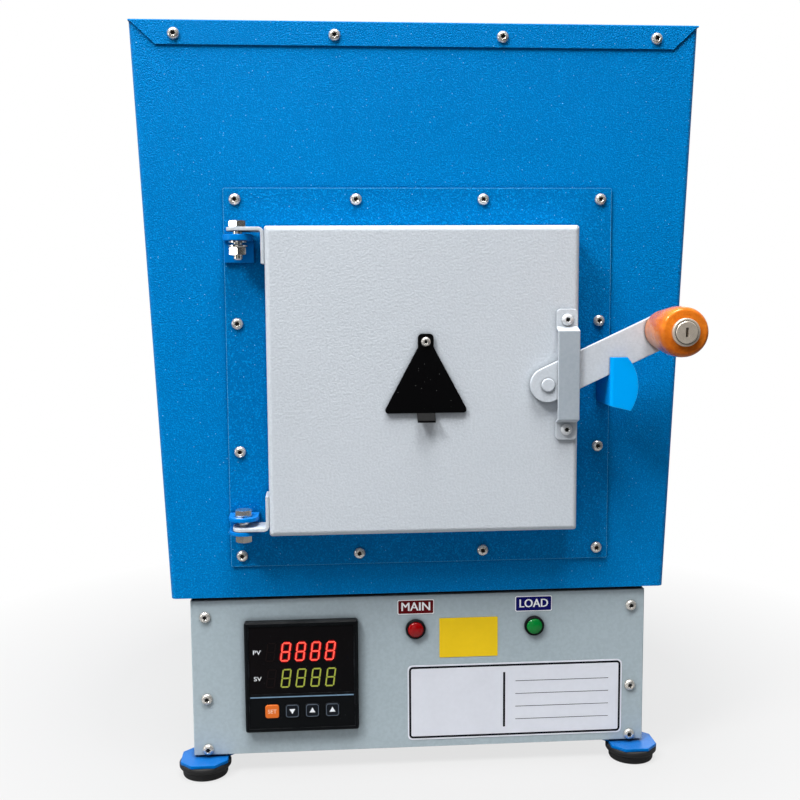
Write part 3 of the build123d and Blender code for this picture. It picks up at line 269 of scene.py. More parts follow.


# colours are screen values; "depth", the width of the rubbed and highlighted edge band and the reach of the
# painted crevice shade are millimetres
paleDust = (196, 198, 196)
looks = {
    # the body coat: its light grain tone and light-blue specks are painted glints, its light edge band a
    # painted highlight and its crevice colour painted shade
    "blueCoat": {"base": (0, 121, 193), "shade": (0, 109, 179), "wave": 880, "grain": 2200,
                 "grainSpan": (0.5, 0.66), "grainShare": 0.7, "grainAndGlintTone": (6, 156, 232),
                 "rough": (0.3, 0.44), "depth": 0.9, "gloss": 0.3, "sheen": (0, 150, 255),
                 "rubAndHighlight": (34, 156, 222), "rubAndHighlightWidth": 1, "rubAndHighlightAmount": 0.7, "rubAndHighlightEven": 0.6,
                 "paintedShade": (0, 40, 82), "dustAndGlint": (130, 200, 244), "veil": 0.03, "specks": 0.9,
                 "speckScale": 330},
    "blueGloss": {"base": (0, 128, 214), "shade": (0, 112, 196), "wave": 260, "grain": 1200,
                  "rough": (0.22, 0.34), "depth": 0.08, "gloss": 0.4, "sheen": (60, 180, 255),
                  "paintedShade": (0, 44, 90), "rubAndHighlight": (50, 160, 236), "rubAndHighlightAmount": 0.6, "dustAndGlint": paleDust,
                  "veil": 0.04, "specks": 0.1},
    # the keeper: a lighter, lit copy of the blue coat; its bright flange is painted light and the web beside
    # the lever painted shade
    "bluePaintedLit": {"base": (0, 172, 255), "shade": (0, 158, 252), "wave": 200, "grain": 1200,
                   "rough": (0.26, 0.36), "depth": 0.05, "gloss": 0.35, "sheen": (60, 190, 255),
                   "paintedShade": (0, 52, 140), "paintedShadeReach": 30, "paintedShadeAmount": 0.95,
                   "rubAndHighlight": (110, 208, 255), "rubAndHighlightWidth": 0.8, "rubAndHighlightAmount": 0.85, "rubAndHighlightEven": 0.5,
                   "dustAndGlint": paleDust, "veil": 0.03, "specks": 0.06},
    "doorCoat": {"gloss": 0.35, "base": (206, 212, 219), "shade": (198, 205, 212), "toneShare": 0.6,
                 "wave": 560, "grain": 1400, "grainShare": 0.4, "grainAndGlintTone": (184, 191, 198),
                 "rough": (0.42, 0.56), "depth": 0.4, "paintedShade": (120, 128, 136), "rubAndHighlight": (222, 225, 226),
                 "rubAndHighlightAmount": 0.6, "dustAndGlint": (168, 170, 170), "veil": 0.06, "specks": 0.16,
                 "speckScale": 240},
    "strapCoat": {"gloss": 0.45, "base": (165, 175, 184), "shade": (153, 164, 174), "toneShare": 0.6,
                  "wave": 420, "grain": 1400, "grainShare": 0.2, "grainAndGlintTone": (186, 192, 198),
                  "rough": (0.3, 0.42), "depth": 0.08, "rubAndHighlight": (226, 229, 230), "rubAndHighlightAmount": 0.9,
                  "rubAndHighlightWidth": 1, "dustAndGlint": (200, 202, 202), "veil": 0.05, "specks": 0.14},
    "boxCoat": {"gloss": 0.35, "paintedShade": (84, 92, 98), "base": (174, 188, 195), "shade": (165, 180, 187),
                "toneShare": 0.6, "wave": 380, "grain": 1300, "grainShare": 0.2,
                "grainAndGlintTone": (140, 153, 160), "rough": (0.34, 0.46), "depth": 0.06,
                "rubAndHighlight": (186, 195, 199), "rubAndHighlightAmount": 0.55, "dustAndGlint": (200, 202, 202), "veil": 0.08,
                "specks": 0.12},
    "blackPaint": {"gloss": 0.05, "base": (5, 5, 6), "shade": (10, 10, 11), "wave": 300, "grain": 1500,
                   "rough": (0.34, 0.48), "depth": 0.05, "rubAndHighlight": (70, 70, 72), "rubAndHighlightAmount": 0.4,
                   "dustAndGlint": (150, 150, 148), "veil": 0.01, "specks": 0.55, "speckScale": 420},
    "zincSheet": {"base": (178, 181, 183), "shade": (150, 154, 158), "toneShare": 0.8, "wave": 120,
                  "grain": 1500, "toneScale": 40, "rough": (0.3, 0.5), "metal": 1, "depth": 0.02},
    "screwSteel": {"base": (232, 228, 221), "shade": (196, 190, 181), "toneScale": 300, "wave": 900,
                   "grain": 2600, "rough": (0.16, 0.32), "metal": 0.72, "depth": 0.01,
                   "rubAndHighlight": (240, 238, 232), "rubAndHighlightWidth": 0.3, "rubAndHighlightAmount": 0.6},
    "boltZinc": {"base": (238, 234, 226), "shade": (214, 209, 201), "toneShare": 0.4, "toneScale": 90,
                 "rough": (0.14, 0.22), "metal": 0.94, "depth": 0.001, "rubAndHighlight": (250, 248, 244),
                 "rubAndHighlightWidth": 0.3, "rubAndHighlightAmount": 0.8},
    # the dark floor of the driver recess: painted shade
    "recessPaintedShade": {"base": (52, 50, 48), "shade": (26, 25, 24), "toneScale": 400, "wave": 900,
                    "grain": 2600, "rough": (0.4, 0.6), "metal": 0.6, "depth": 0.01},
    "nickel": {"base": (232, 220, 204), "shade": (200, 186, 168), "toneShare": 0.6, "toneScale": 160,
               "wave": 700, "grain": 2400, "rough": (0.26, 0.4), "metal": 0.55, "depth": 0.008,
               "paintedShade": (40, 34, 30), "paintedShadeReach": 1.4, "paintedShadeAmount": 0.9},
    "rubber": {"gloss": 0.3, "base": (24, 24, 25), "shade": (34, 34, 35), "wave": 400, "grain": 2200,
               "rough": (0.5, 0.66), "dustAndGlint": (120, 118, 114), "veil": 0.25, "specks": 0.25,
               "speckScale": 500},
    # black foam; on the body gasket and foot packings it also stands in, as painted shade, for the shadow in
    # the gaps under the body and the box
    "blackFoamAndGapShade": {"base": (20, 20, 21), "shade": (32, 32, 33), "wave": 900, "grain": 2600,
             "rough": (0.8, 0.95), "depth": 0.2, "ior": 1.4},
    "caseBlack": {"gloss": 0.07, "base": (9, 11, 13), "shade": (15, 17, 20), "wave": 900, "grain": 2600,
                  "rough": (0.36, 0.5), "depth": 0.02, "rubAndHighlight": (74, 78, 84), "rubAndHighlightAmount": 0.7,
                  "rubAndHighlightWidth": 0.4, "dustAndGlint": (140, 140, 140), "veil": 0.1, "speckScale": 500},
    "windowSmoke": {"gloss": 0.06, "base": (8, 8, 10), "shade": (16, 11, 12), "wave": 30, "grain": 1500,
                    "rough": (0.12, 0.2), "depth": 0.001, "dustAndGlint": (120, 120, 124), "veil": 0.02,
                    "specks": 0.15, "speckScale": 500},
    "keyOrange": {"gloss": 0.2, "base": (232, 116, 40), "shade": (214, 100, 34), "wave": 700,
                  "grain": 2400, "rough": (0.38, 0.5), "depth": 0.01},
    "keyBlack": {"gloss": 0.1, "base": (16, 20, 26), "shade": (24, 28, 34), "wave": 700, "grain": 2400,
                 "rough": (0.38, 0.5), "depth": 0.01},
    "lensRed": {"gloss": 0.3, "base": (160, 0, 5), "shade": (120, 0, 3), "toneScale": 120, "wave": 200,
                "grain": 900, "rough": (0.12, 0.22), "depth": 0.01, "coat": 0.15, "coatRough": 0.06},
    "lensGreen": {"gloss": 0.25, "base": (2, 132, 52), "shade": (0, 100, 38), "toneScale": 120,
                  "wave": 200, "grain": 900, "rough": (0.12, 0.22), "depth": 0.01, "coat": 0.15,
                  "coatRough": 0.06},
    "glandNylon": {"base": (28, 28, 29), "shade": (38, 38, 40), "grain": 2000, "rough": (0.4, 0.55),
                   "depth": 0.03, "dustAndGlint": (120, 120, 118), "veil": 0.15},
    "relayWhite": {"base": (222, 222, 216), "shade": (206, 206, 198), "rough": (0.4, 0.5), "depth": 0.01},
    "aluminium": {"base": (196, 198, 200), "shade": (172, 175, 178), "wave": 60, "grain": 900,
                  "stretch": (12, 1, 12), "rough": (0.3, 0.46), "metal": 1, "depth": 0.02},
    "terminalCream": {"base": (226, 220, 202), "shade": (210, 202, 182), "rough": (0.5, 0.62),
                      "depth": 0.02},
    "fibreBoard": {"base": (236, 232, 220), "shade": (222, 214, 196), "toneShare": 0.8, "toneScale": 30,
                   "wave": 260, "grain": 1400, "grainShare": 0.3, "stretch": (1, 3, 1),
                   "rough": (0.88, 0.98), "depth": 0.5, "rubAndHighlight": (214, 200, 172), "rubAndHighlightWidth": 4},
    "muffleCeramic": {"base": (226, 216, 198), "shade": (206, 186, 156), "toneShare": 0.9,
                      "toneScale": 24, "wave": 420, "grain": 1700, "grainShare": 0.25,
                      "rough": (0.8, 0.92), "depth": 0.25, "rubAndHighlight": (190, 168, 136), "rubAndHighlightWidth": 3,
                      "rubAndHighlightAmount": 0.4},
    "sheathCeramic": {"base": (232, 226, 212), "shade": (214, 204, 186), "rough": (0.45, 0.6),
                      "depth": 0.03},
    "heatStrip": {"base": (96, 88, 82), "shade": (70, 62, 58), "toneScale": 60, "rough": (0.5, 0.7),
                  "metal": 0.9, "depth": 0.02},
    "ropeFibre": {"base": (228, 222, 208), "shade": (200, 192, 174), "toneScale": 60, "wave": 900,
                  "grain": 2600, "grainShare": 0.4, "rough": (0.85, 0.95), "depth": 0.3},
}
# ink and its least roughness
prints = {
    "printWhite": ((252, 252, 254), 0.34), "printMaroon": ((96, 2, 10), 0.3),
    "printNavy": ((8, 8, 100), 0.3), "printYellow": ((246, 206, 30), 0.32),
    "plateWhite": ((226, 229, 238), 0.26), "printBlack": ((12, 14, 22), 0.36),
    "printPale": ((240, 243, 248), 0.4), "printDim": ((104, 116, 130), 0.4),
    "printPeach": ((250, 214, 186), 0.4), "printSteelBlue": ((120, 150, 176), 0.36),
}
# lit or unlit display segments and how much they glow; the wide dim red strokes behind the window are a
# painted glow round the lit digits
digits = {
    "digitRed": ((255, 84, 70), 0.95), "digitGlowHalo": ((120, 4, 8), 0.6),
    "digitGreen": ((152, 160, 66), 0.33), "digitOff": ((22, 15, 15), 0),
}


def darker(ink, share):
    return tuple(value * share for value in paint(*ink)[:3]) + (1.0,)


for printName, (ink, gloss) in prints.items():
    looks[printName] = {"gloss": 0.12, "base": ink, "shade": darker(ink, 0.86), "toneScale": 30,
                        "toneShare": 0.4, "wave": 240, "rough": (gloss, gloss + 0.12),
                        "depth": 0.008, "dustAndGlint": paleDust, "veil": 0.03, "specks": 0.06}
for digitName, (ink, glow) in digits.items():
    looks[digitName] = {"gloss": 0.06, "base": ink, "shade": darker(ink, 0.8), "toneScale": 400,
                        "rough": (0.3, 0.4), "depth": 0.002, "glow": glow}
# the frame plate: its even, light edge band is a painted highlight on its raised edge
looks["plateCoat"] = dict(looks["blueCoat"], base=(0, 113, 182), shade=(0, 101, 168), rubAndHighlightWidth=1.2,
                          rubAndHighlight=(96, 190, 236), rubAndHighlightAmount=1, rubAndHighlightEven=0.85)
looks["footBlue"] = dict(looks["blueGloss"], base=(0, 104, 184), shade=(0, 90, 166), sheen=(20, 150, 240),
                         gloss=0.3, depth=0.4, wave=700)
# the lid: weaker painted crevice shade and a stronger painted edge highlight along its mitre
looks["lidCoat"] = dict(looks["blueCoat"], paintedShade=(0, 84, 148), paintedShadeAmount=0.35, rubAndHighlightAmount=0.9)
looks["leverCoat"] = dict(looks["doorCoat"], paintedShade=(58, 60, 64), paintedShadeReach=2.2, paintedShadeAmount=0.9,
                          depth=0.1)
looks["screwPale"] = dict(looks["screwSteel"], base=(228, 230, 232), shade=(206, 208, 210), metal=0.2,
                          rough=(0.24, 0.34), gloss=0.5)
finishes = {name: finish(name, look) for name, look in looks.items()}
print("finishes built:", len(finishes))

nodeFinishes = {
    "blueCoat": ("body_shell", "top_cover", "back_panel", "frame_plate"),
    "blueGloss": ("hinge_brackets", "foot_plates"),
    # the keeper's lighter blue is painted light
    "bluePaintedLit": ("latch_keeper",),
    "doorCoat": ("door_pan", "door_ears", "lever_pin", "lever_bar"),
    "strapCoat": ("strap_bracket",),
    "boxCoat": ("control_box_shell", "control_front_panel", "control_rear_panel"),
    "blackPaint": ("sight_cover",),
    "zincSheet": ("body_floor", "door_back_plate", "controller_clamps"),
    "screwSteel": ("foot_screws", "front_panel_screws", "lip_screws", "rear_screws", "frame_screws",
                   "hinge_bolts", "hinge_nuts", "strap_screws", "cover_screw"),
    "nickel": ("lock_barrel", "lock_plug"),
    "rubber": ("foot_rubbers",),
    # the black gasket and packings are partly painted shade in the gaps
    "blackFoamAndGapShade": ("foot_packings", "body_gasket"),
    "caseBlack": ("controller_case", "lamp_bodies"),
    "windowSmoke": ("controller_window",),
    "keyOrange": ("key_set",),
    "keyBlack": ("key_shift", "key_down", "key_up"),
    "lensRed": ("red_lens",),
    "lensGreen": ("green_lens",),
    "glandNylon": ("cable_gland",),
    "relayWhite": ("solid_state_relay",),
    "aluminium": ("heatsink",),
    "terminalCream": ("terminal_block",),
    "fibreBoard": ("front_board", "rear_board", "base_board", "top_board", "side_boards", "door_board",
                   "door_plug"),
    "muffleCeramic": ("muffle",),
    "sheathCeramic": ("thermocouple", "heater_terminals", "sight_tube"),
    "heatStrip": ("heater_winding",),
    "ropeFibre": ("door_seal",),
    "knobWood": ("knob",),
}


# turned hardwood under a thick orange varnish: streaks run along the grip
def knobFinish(look):
    material, tree, shader = startMaterial("knobWood")
    place = addNode(tree, "ShaderNodeTexCoord").outputs["Object"]
    centred = addNode(tree, "ShaderNodeMapping", {
        "Vector": place, "Location": look["centre"]}, vector_type="TEXTURE").outputs[0]
    streaks = addNode(tree, "ShaderNodeMapping", {"Vector": centred, "Scale": look["streak"]}).outputs[0]
    fibres = noise(tree, streaks, look["fibreScale"], 6.0, 0.65, 0.4)
    cloud = noise(tree, centred, 40.0, 3.0)
    colour = mixColour(tree, ramp(tree, fibres, 0.35, 0.7), look["light"], look["dark"])
    colour = mixColour(tree, ramp(tree, cloud, 0.45, 0.8, 0.0, 0.5), colour, look["deep"])
    # painted shade: the colour darkens towards the bottom of the knob
    height = addNode(tree, "ShaderNodeSeparateXYZ", {0: centred}).outputs["Z"]
    colour = mixColour(tree, ramp(tree, height, 0.002, -0.02, 0.0, 0.6), colour, look["deep"])
    # painted highlight on the knob's rounded rim, laid with the edge mask
    rubAndHighlight = addNode(tree, "ShaderNodeGroup", {
        "Width": 0.0022, "Patch Scale": 90.0, "Amount": 0.7, "Even": 0.5}, node_tree=groups["rubAndHighlight"])
    colour = mixColour(tree, rubAndHighlight.outputs["Mask"], colour, look["rimPaintedHighlight"])
    tree.links.new(colour, shader.inputs["Base Color"])
    tree.links.new(ramp(tree, cloud, 0.3, 0.7, 0.22, 0.34), shader.inputs["Roughness"])
    bump = addNode(tree, "ShaderNodeBump", {"Height": fibres, "Distance": 0.00005, "Strength": 1.0})
    tree.links.new(bump.outputs[0], shader.inputs["Normal"])
    shader.inputs["Specular Tint"].default_value = look["tint"]
    shader.inputs["Coat Weight"].default_value = look["coat"]
    shader.inputs["Coat Roughness"].default_value = look["coatRough"]
    return material


knobLow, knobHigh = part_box("knob")
knobMiddle = (knobLow + knobHigh) / 2
finishes["knobWood"] = knobFinish({
    "centre": tuple(knobMiddle), "streak": (1.0, 0.12, 1.0), "fibreScale": 260.0,
    "light": paint(244, 138, 38), "dark": paint(216, 102, 20), "deep": paint(150, 60, 10),
    "rimPaintedHighlight": paint(250, 186, 120), "tint": paint(255, 190, 110), "coat": 0.45, "coatRough": 0.14})
for finishName, nodeNames in nodeFinishes.items():
    for nodeName in nodeNames:
        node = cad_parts[nodeName]
        node.data.materials.clear()
        node.data.materials.append(finishes[finishName])
print("finishes placed on the CAD nodes")


# mesh corners closer than this, in metres, are one corner
weld = 2e-6


def weldedCopy(nodeName):
    bm = bmesh.new()
    bm.from_mesh(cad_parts[nodeName].data)
    bmesh.ops.remove_doubles(bm, verts=bm.verts, dist=weld)
    return bm


def cleanCopy(nodeName):
    bm = weldedCopy(nodeName)
    bmesh.ops.dissolve_limit(bm, angle_limit=math.radians(0.5), verts=bm.verts, edges=bm.edges)
    return bm


def addPiece(name, bm, body, finishName, replaced=(), smoothBelow=35, second=None):
    mesh = bpy.data.meshes.new(name)
    bm.to_mesh(mesh)
    bm.free()
    mesh.materials.append(finishes[finishName])
    if second:
        mesh.materials.append(finishes[second])
    mesh.shade_smooth()
    mesh.set_sharp_from_angle(angle=math.radians(smoothBelow))
    piece = bpy.data.objects.new(name, mesh)
    bpy.context.scene.collection.objects.link(piece)
    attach(piece, body)
    if replaced:
        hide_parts(*replaced)
    even = piece.modifiers.new("evenNormals", "WEIGHTED_NORMAL")  # keeps flat faces flat
    even.keep_sharp = True
    even.weight = 100


# what has been added to a mesh since a given moment
def addedSince(bm, before):
    return [vert for vert in bm.verts if vert not in before]


def faceOutward(bm, verts):
    known = set(verts)
    bmesh.ops.recalc_face_normals(bm, faces=[face for face in bm.faces if face.verts[0] in known])


# gives the new flat faces a thickness and sets them in place
def thicken(bm, before, thick, place):
    flat = [face for face in bm.faces if face.verts[0] not in before]
    grown = bmesh.ops.extrude_face_region(bm, geom=flat)["geom"]
    raised = [item for item in grown if isinstance(item, bmesh.types.BMVert)]
    bmesh.ops.translate(bm, vec=(0, 0, thick), verts=raised)
    fresh = addedSince(bm, before)
    faceOutward(bm, fresh)
    bmesh.ops.transform(bm, matrix=place, verts=fresh)


def bridgeRings(bm, pairs):
    for pair in pairs:
        edges = [edge for ring in pair for edge in
                 {edge for vert in ring for edge in vert.link_edges if edge.other_vert(vert) in ring}]
        bmesh.ops.bridge_loops(bm, edges=edges)


sharpAngle = math.radians(35)


# sheet and plate parts get the small rounds that paint and tumbling leave on their edges
def soften(nodeName, body, finishName, width):
    bm = cleanCopy(nodeName)
    sharp = [edge for edge in bm.edges if len(edge.link_faces) == 2
             and edge.calc_face_angle(0) > sharpAngle]
    bmesh.ops.bevel(bm, geom=sharp, offset=width * mm, segments=2, profile=0.5,
                    affect="EDGES", material=-1, clamp_overlap=True)
    addPiece(nodeName + "_soft", bm, body, finishName, (nodeName,))


cameraSetup = {
    "place": (-0.08206, -1.07186, 0.41094),
    "right": (0.9972, -0.0749, -0.0065),
    "up": (0.0142, 0.1024, 0.9946),
    "lens": 47.475,
}
cameraData = bpy.data.cameras.new("viewCamera")
cameraData.lens = cameraSetup["lens"]
cameraData.sensor_width = 36
cameraData.clip_start = 0.01
viewCamera = bpy.data.objects.new("viewCamera", cameraData)
bpy.context.scene.collection.objects.link(viewCamera)
rightward = Vector(cameraSetup["right"]).normalized()
upward = Vector(cameraSetup["up"])
upward = (upward - rightward * upward.dot(rightward)).normalized()
axes = Matrix((rightward, upward, rightward.cross(upward))).transposed()
viewCamera.matrix_world = Matrix.Translation(cameraSetup["place"]) @ axes.to_4x4()
bpy.context.scene.camera = viewCamera


def addLamp(name, place, target, size, power):
    data = bpy.data.lights.new(name, "AREA")
    data.shape = "DISK"
    data.size = size
    data.energy = power
    lamp = bpy.data.objects.new(name, data)
    bpy.context.scene.collection.objects.link(lamp)
    lamp.location = place
    lamp.rotation_euler = (Vector(target) - Vector(place)).to_track_quat("-Z", "Y").to_euler()


# place, target, size and power of each lamp
lighting = {
    "key": ((-1.5, -1.5, 2.5), (0.0, -0.2, 0.3), 0.9, 69.0),
    "above": ((0.0, -1.0, 2.9), (0.0, -0.15, 0.25), 1.4, 88.0),
    "fill": ((-0.5, -2.6, 0.5), (0.0, 0.0, 0.2), 1.2, 2.2),
    "side": ((-1.6, -0.75, 0.5), (-0.15, -0.05, 0.4), 0.5, 3.4),
    "behind": ((0.6, 2.4, 1.6), (0.0, 0.0, 0.35), 1.8, 14.0),
}
for lampName, (place, target, size, power) in lighting.items():
    addLamp(lampName, place, target, size, power)

world = bpy.data.worlds.new("studioWorld")
bpy.context.scene.world = world
world.use_nodes = True
sky = world.node_tree
sky.nodes.clear()
path = addNode(sky, "ShaderNodeLightPath").outputs
seen = sums(sky, "MAXIMUM", path["Is Camera Ray"], path["Is Transmission Ray"])
# a pale backdrop behind the furnace and a dim room in front of it
towards = addNode(sky, "ShaderNodeTexCoord").outputs["Generated"]
parts = addNode(sky, "ShaderNodeSeparateXYZ", {0: towards}).outputs
backdrop = ramp(sky, parts["Y"], -0.35, 0.6, 0.05, 0.75)
ceiling = ramp(sky, parts["Z"], 0.2, 1.0, 0.0, 0.35)
strength = sums(sky, "ADD", backdrop, ceiling)
plain = addNode(sky, "ShaderNodeBackground", {"Color": (0.94, 0.97, 1.0, 1.0), "Strength": strength})
white = addNode(sky, "ShaderNodeBackground", {"Color": (1.0, 1.0, 1.0, 1.0), "Strength": 1.0})
mixed = addNode(sky, "ShaderNodeMixShader", {0: seen, 1: plain.outputs[0], 2: white.outputs[0]})
addNode(sky, "ShaderNodeOutputWorld", {"Surface": mixed.outputs[0]})


def floorPiece(size):
    bm = bmesh.new()
    bmesh.ops.create_grid(bm, x_segments=1, y_segments=1, size=size)
    mesh = bpy.data.meshes.new("studioFloor")
    bm.to_mesh(mesh)
    bm.free()
    material = bpy.data.materials.new("floorWhite")
    material.use_nodes = True
    tree = material.node_tree
    tree.nodes.clear()
    white = addNode(tree, "ShaderNodeEmission", {"Color": (1.0, 1.0, 1.0, 1.0), "Strength": 1.0})
    path = addNode(tree, "ShaderNodeLightPath").outputs
    seen = sums(tree, "MAXIMUM", path["Is Camera Ray"], path["Is Transmission Ray"])
    place = addNode(tree, "ShaderNodeTexCoord").outputs["Object"]
    away = addNode(tree, "ShaderNodeVectorMath", {0: place}, operation="LENGTH").outputs["Value"]
    share = product(tree, seen, ramp(tree, away, 0.3, 0.62, 0.74, 1.0))
    # the pale card ends in front of the furnace, so that dark finishes stay dark
    tone = ramp(tree, away, 0.4, 1.2, 0.3, 0.05)
    card = addNode(tree, "ShaderNodeBsdfDiffuse", {"Color": addNode(tree, "ShaderNodeCombineColor", {
        "Red": tone, "Green": tone, "Blue": tone}).outputs[0]})
    mixed = addNode(tree, "ShaderNodeMixShader", {0: share, 1: card.outputs[0], 2: white.outputs[0]})
    addNode(tree, "ShaderNodeOutputMaterial", {"Surface": mixed.outputs[0]})
    mesh.materials.append(material)
    floor = bpy.data.objects.new("studioFloor", mesh)
    bpy.context.scene.collection.objects.link(floor)
    floor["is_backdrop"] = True


floorPiece(8.0)
bpy.context.scene.view_settings.view_transform = "Standard"
print("camera, light and floor placed")

softParts = (
    ("door_pan", "door", "doorCoat", "door_coat", 0.35),
    ("door_ears", "door", "doorCoat", "door_coat", 0.6),
    ("strap_bracket", "door", "strapCoat", "door_coat", 0.6),
    ("lever_pin", "door", "leverCoat", "door_coat", 0.3),
    ("lever_bar", "lever", "leverCoat", "door_coat", 0.6),
    ("body_shell", "cabinet", "blueCoat", "blue_powder_coat", 0.3),
    ("top_cover", "cabinet", "lidCoat", "blue_powder_coat", 0.35),
    ("back_panel", "cabinet", "blueCoat", "blue_powder_coat", 0.3),
    ("frame_plate", "cabinet", "plateCoat", "blue_powder_coat", 0.3),
    ("hinge_brackets", "cabinet", "blueGloss", "blue_powder_coat", 0.6),
    ("latch_keeper", "cabinet", "bluePaintedLit", "blue_powder_coat", 0.6),
    ("foot_plates", "cabinet", "footBlue", "blue_powder_coat", 0.6),
    ("control_box_shell", "cabinet", "boxCoat", "grey_powder_coat", 0.25),
    ("control_front_panel", "cabinet", "boxCoat", "grey_powder_coat", 0.3),
    ("control_rear_panel", "cabinet", "boxCoat", "grey_powder_coat", 0.3),
    ("controller_case", "cabinet", "caseBlack", "controller_black", 0.3),
    ("sight_cover", "sight_cover", "blackPaint", "black_paint", 0.35),
    ("muffle", "cabinet", "muffleCeramic", "muffle_ceramic", 1.2),
    ("front_board", "cabinet", "fibreBoard", "fibre_board", 0.8),
    ("door_plug", "door", "fibreBoard", "fibre_board", 1.5),
)
for nodeName, body, finishName, slotName, width in softParts:
    soften(nodeName, body, finishName, width)
# the raised middle of the strap is duller than its two tabs
raisedDepth = 0.3
strap = bpy.data.objects["strap_bracket_soft"].data
strap.materials.append(finishes["doorCoat"])
strapFront = min(vert.co.y for vert in strap.vertices)
for face in strap.polygons:
    face.material_index = 0 if face.center.y < strapFront + raisedDepth * mm else 1
print("edges softened:", len(softParts))

towardsFront = Matrix.Rotation(math.radians(90), 4, "X")
towardsBack = Matrix.Rotation(math.radians(-90), 4, "X")
towardsFloor = Matrix.Rotation(math.radians(180), 4, "X")


# the boxes round the separate solids of a CAD node
def islandBoxes(nodeName):
    bm = weldedCopy(nodeName)
    boxes = []
    waiting = set(bm.verts)
    for seed in list(bm.verts):
        if seed not in waiting:
            continue
        waiting.discard(seed)
        reached, island = [seed], [seed]
        while reached:
            for edge in reached.pop().link_edges:
                for vert in edge.verts:
                    if vert in waiting:
                        waiting.discard(vert)
                        reached.append(vert)
                        island.append(vert)
        corners = [vert.co for vert in island]
        boxes.append(tuple(Vector([pick(corner[axis] for corner in corners) for axis in range(3)])
                           for pick in (min, max)))
    bm.free()
    return boxes


def middleOf(box):
    return (box[0] + box[1]) / 2


# turns a profile of (radius, height) in millimetres about the upright axis
def addTurned(bm, profile, steps=48, place=Matrix.Identity(4)):
    before = set(bm.verts)
    verts = [bm.verts.new((radius * mm, 0, height * mm)) for radius, height in profile]
    edges = [bm.edges.new(pair) for pair in zip(verts, verts[1:])]
    bmesh.ops.spin(bm, geom=verts + edges, cent=(0, 0, 0), axis=(0, 0, 1), dvec=(0, 0, 0),
                   angle=math.tau, steps=steps, use_merge=True, use_duplicate=False)
    bmesh.ops.remove_doubles(bm, verts=addedSince(bm, before), dist=1e-6)
    fresh = addedSince(bm, before)
    faceOutward(bm, fresh)
    bmesh.ops.transform(bm, matrix=place, verts=fresh)
    return fresh


def turnedPiece(name, body, finishName, profile, steps, places, replaced=(), smoothBelow=35):
    bm = bmesh.new()
    for place in places:
        addTurned(bm, profile, steps, place)
    addPiece(name, bm, body, finishName, replaced, smoothBelow)


def addCopies(bm, shape, places):
    mesh = bpy.data.meshes.new("shape")
    shape.to_mesh(mesh)
    shape.free()
    for place in places:
        before = set(bm.verts)
        bm.from_mesh(mesh)
        bmesh.ops.transform(bm, matrix=place, verts=addedSince(bm, before))
    bpy.data.meshes.remove(mesh)


# low domed screw with a six-lobed driver recess
screwLook = {
    "profile": ((0, 1.15), (1.55, 1.2), (1.85, 2.6), (2.15, 2.8), (3.1, 2.62), (3.95, 2.12), (4.5, 1.4),
                (4.78, 0.6), (4.75, 0.15), (4.5, 0), (2.4, 0), (2.4, -1.5), (0, -1.5)),
    "recess": 2.3, "recessTop": 2.5, "lobe": 0.17, "lobes": 6, "steps": 36, "height": 2.8, "spin": 0.7,
    "paleGroup": "strap_screws",
}


def screwShape(look):
    shape = bmesh.new()
    addTurned(shape, look["profile"], look["steps"])
    for vert in shape.verts:
        radius = math.hypot(vert.co.x, vert.co.y)
        if radius < look["recess"] * mm and vert.co.z > mm:
            swell = 1 + look["lobe"] * math.cos(look["lobes"] * math.atan2(vert.co.y, vert.co.x))
            vert.co.x *= swell
            vert.co.y *= swell
    # faces inside the recess take the second finish, a painted shade
    for face in shape.faces:
        middle = face.calc_center_median()
        inside = math.hypot(middle.x, middle.y) < look["recess"] * 0.85 * mm
        if inside and 0 < middle.z < look["recessTop"] * mm:
            face.material_index = 1
    return shape


def screwPlaces(nodeName, turn, axis, side):
    height = screwLook["height"] * mm
    places = []
    for index, box in enumerate(islandBoxes(nodeName)):
        seat = middleOf(box)
        seat[axis] = box[0][axis] + height if side < 0 else box[1][axis] - height
        spin = Matrix.Rotation(index * screwLook["spin"], 4, "Z")
        places.append(Matrix.Translation(seat) @ turn @ spin)
    return places


screwGroups = (
    ("front_panel_screws", "cabinet", towardsFront, 1, -1),
    ("lip_screws", "cabinet", towardsFront, 1, -1),
    ("frame_screws", "cabinet", towardsFront, 1, -1),
    ("strap_screws", "door", towardsFront, 1, -1),
    ("rear_screws", "cabinet", towardsBack, 1, 1),
    ("foot_screws", "cabinet", towardsFloor, 2, -1),
)
for nodeName, body, turn, axis, side in screwGroups:
    bm = bmesh.new()
    addCopies(bm, screwShape(screwLook), screwPlaces(nodeName, turn, axis, side))
    steel = "screwPale" if nodeName == screwLook["paleGroup"] else "screwSteel"
    addPiece(nodeName + "_domed", bm, body, steel, (nodeName,), second="recessPaintedShade")

# the screw and spacer that the sight-hole cover hangs on
coverLook = {"scale": 0.8, "head": 2.2, "steps": 32,
             "spacer": ((0, 0), (4.5, 0), (4.5, 0.9), (4.3, 1), (2, 1), (2, 3.2), (0, 3.2))}
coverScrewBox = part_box("cover_screw")
coverScrewMiddle = middleOf(coverScrewBox)
coverSeat, spacerSeat = (Matrix.Translation((coverScrewMiddle.x, depth, coverScrewMiddle.z)) @ towardsFront
                         for depth in (coverScrewBox[0].y + coverLook["head"] * mm, coverScrewBox[1].y))
bm = bmesh.new()
addCopies(bm, screwShape(screwLook), [coverSeat @ Matrix.Scale(coverLook["scale"], 4)])
addTurned(bm, coverLook["spacer"], coverLook["steps"], spacerSeat)
addPiece("cover_screw_domed", bm, "door", "screwSteel", ("cover_screw",), second="recessPaintedShade")
print("screws placed")


# hexagon with its corners turned off towards both ends, as on a bolt head or nut
crownShare, crownSlope = 0.96, 0.577


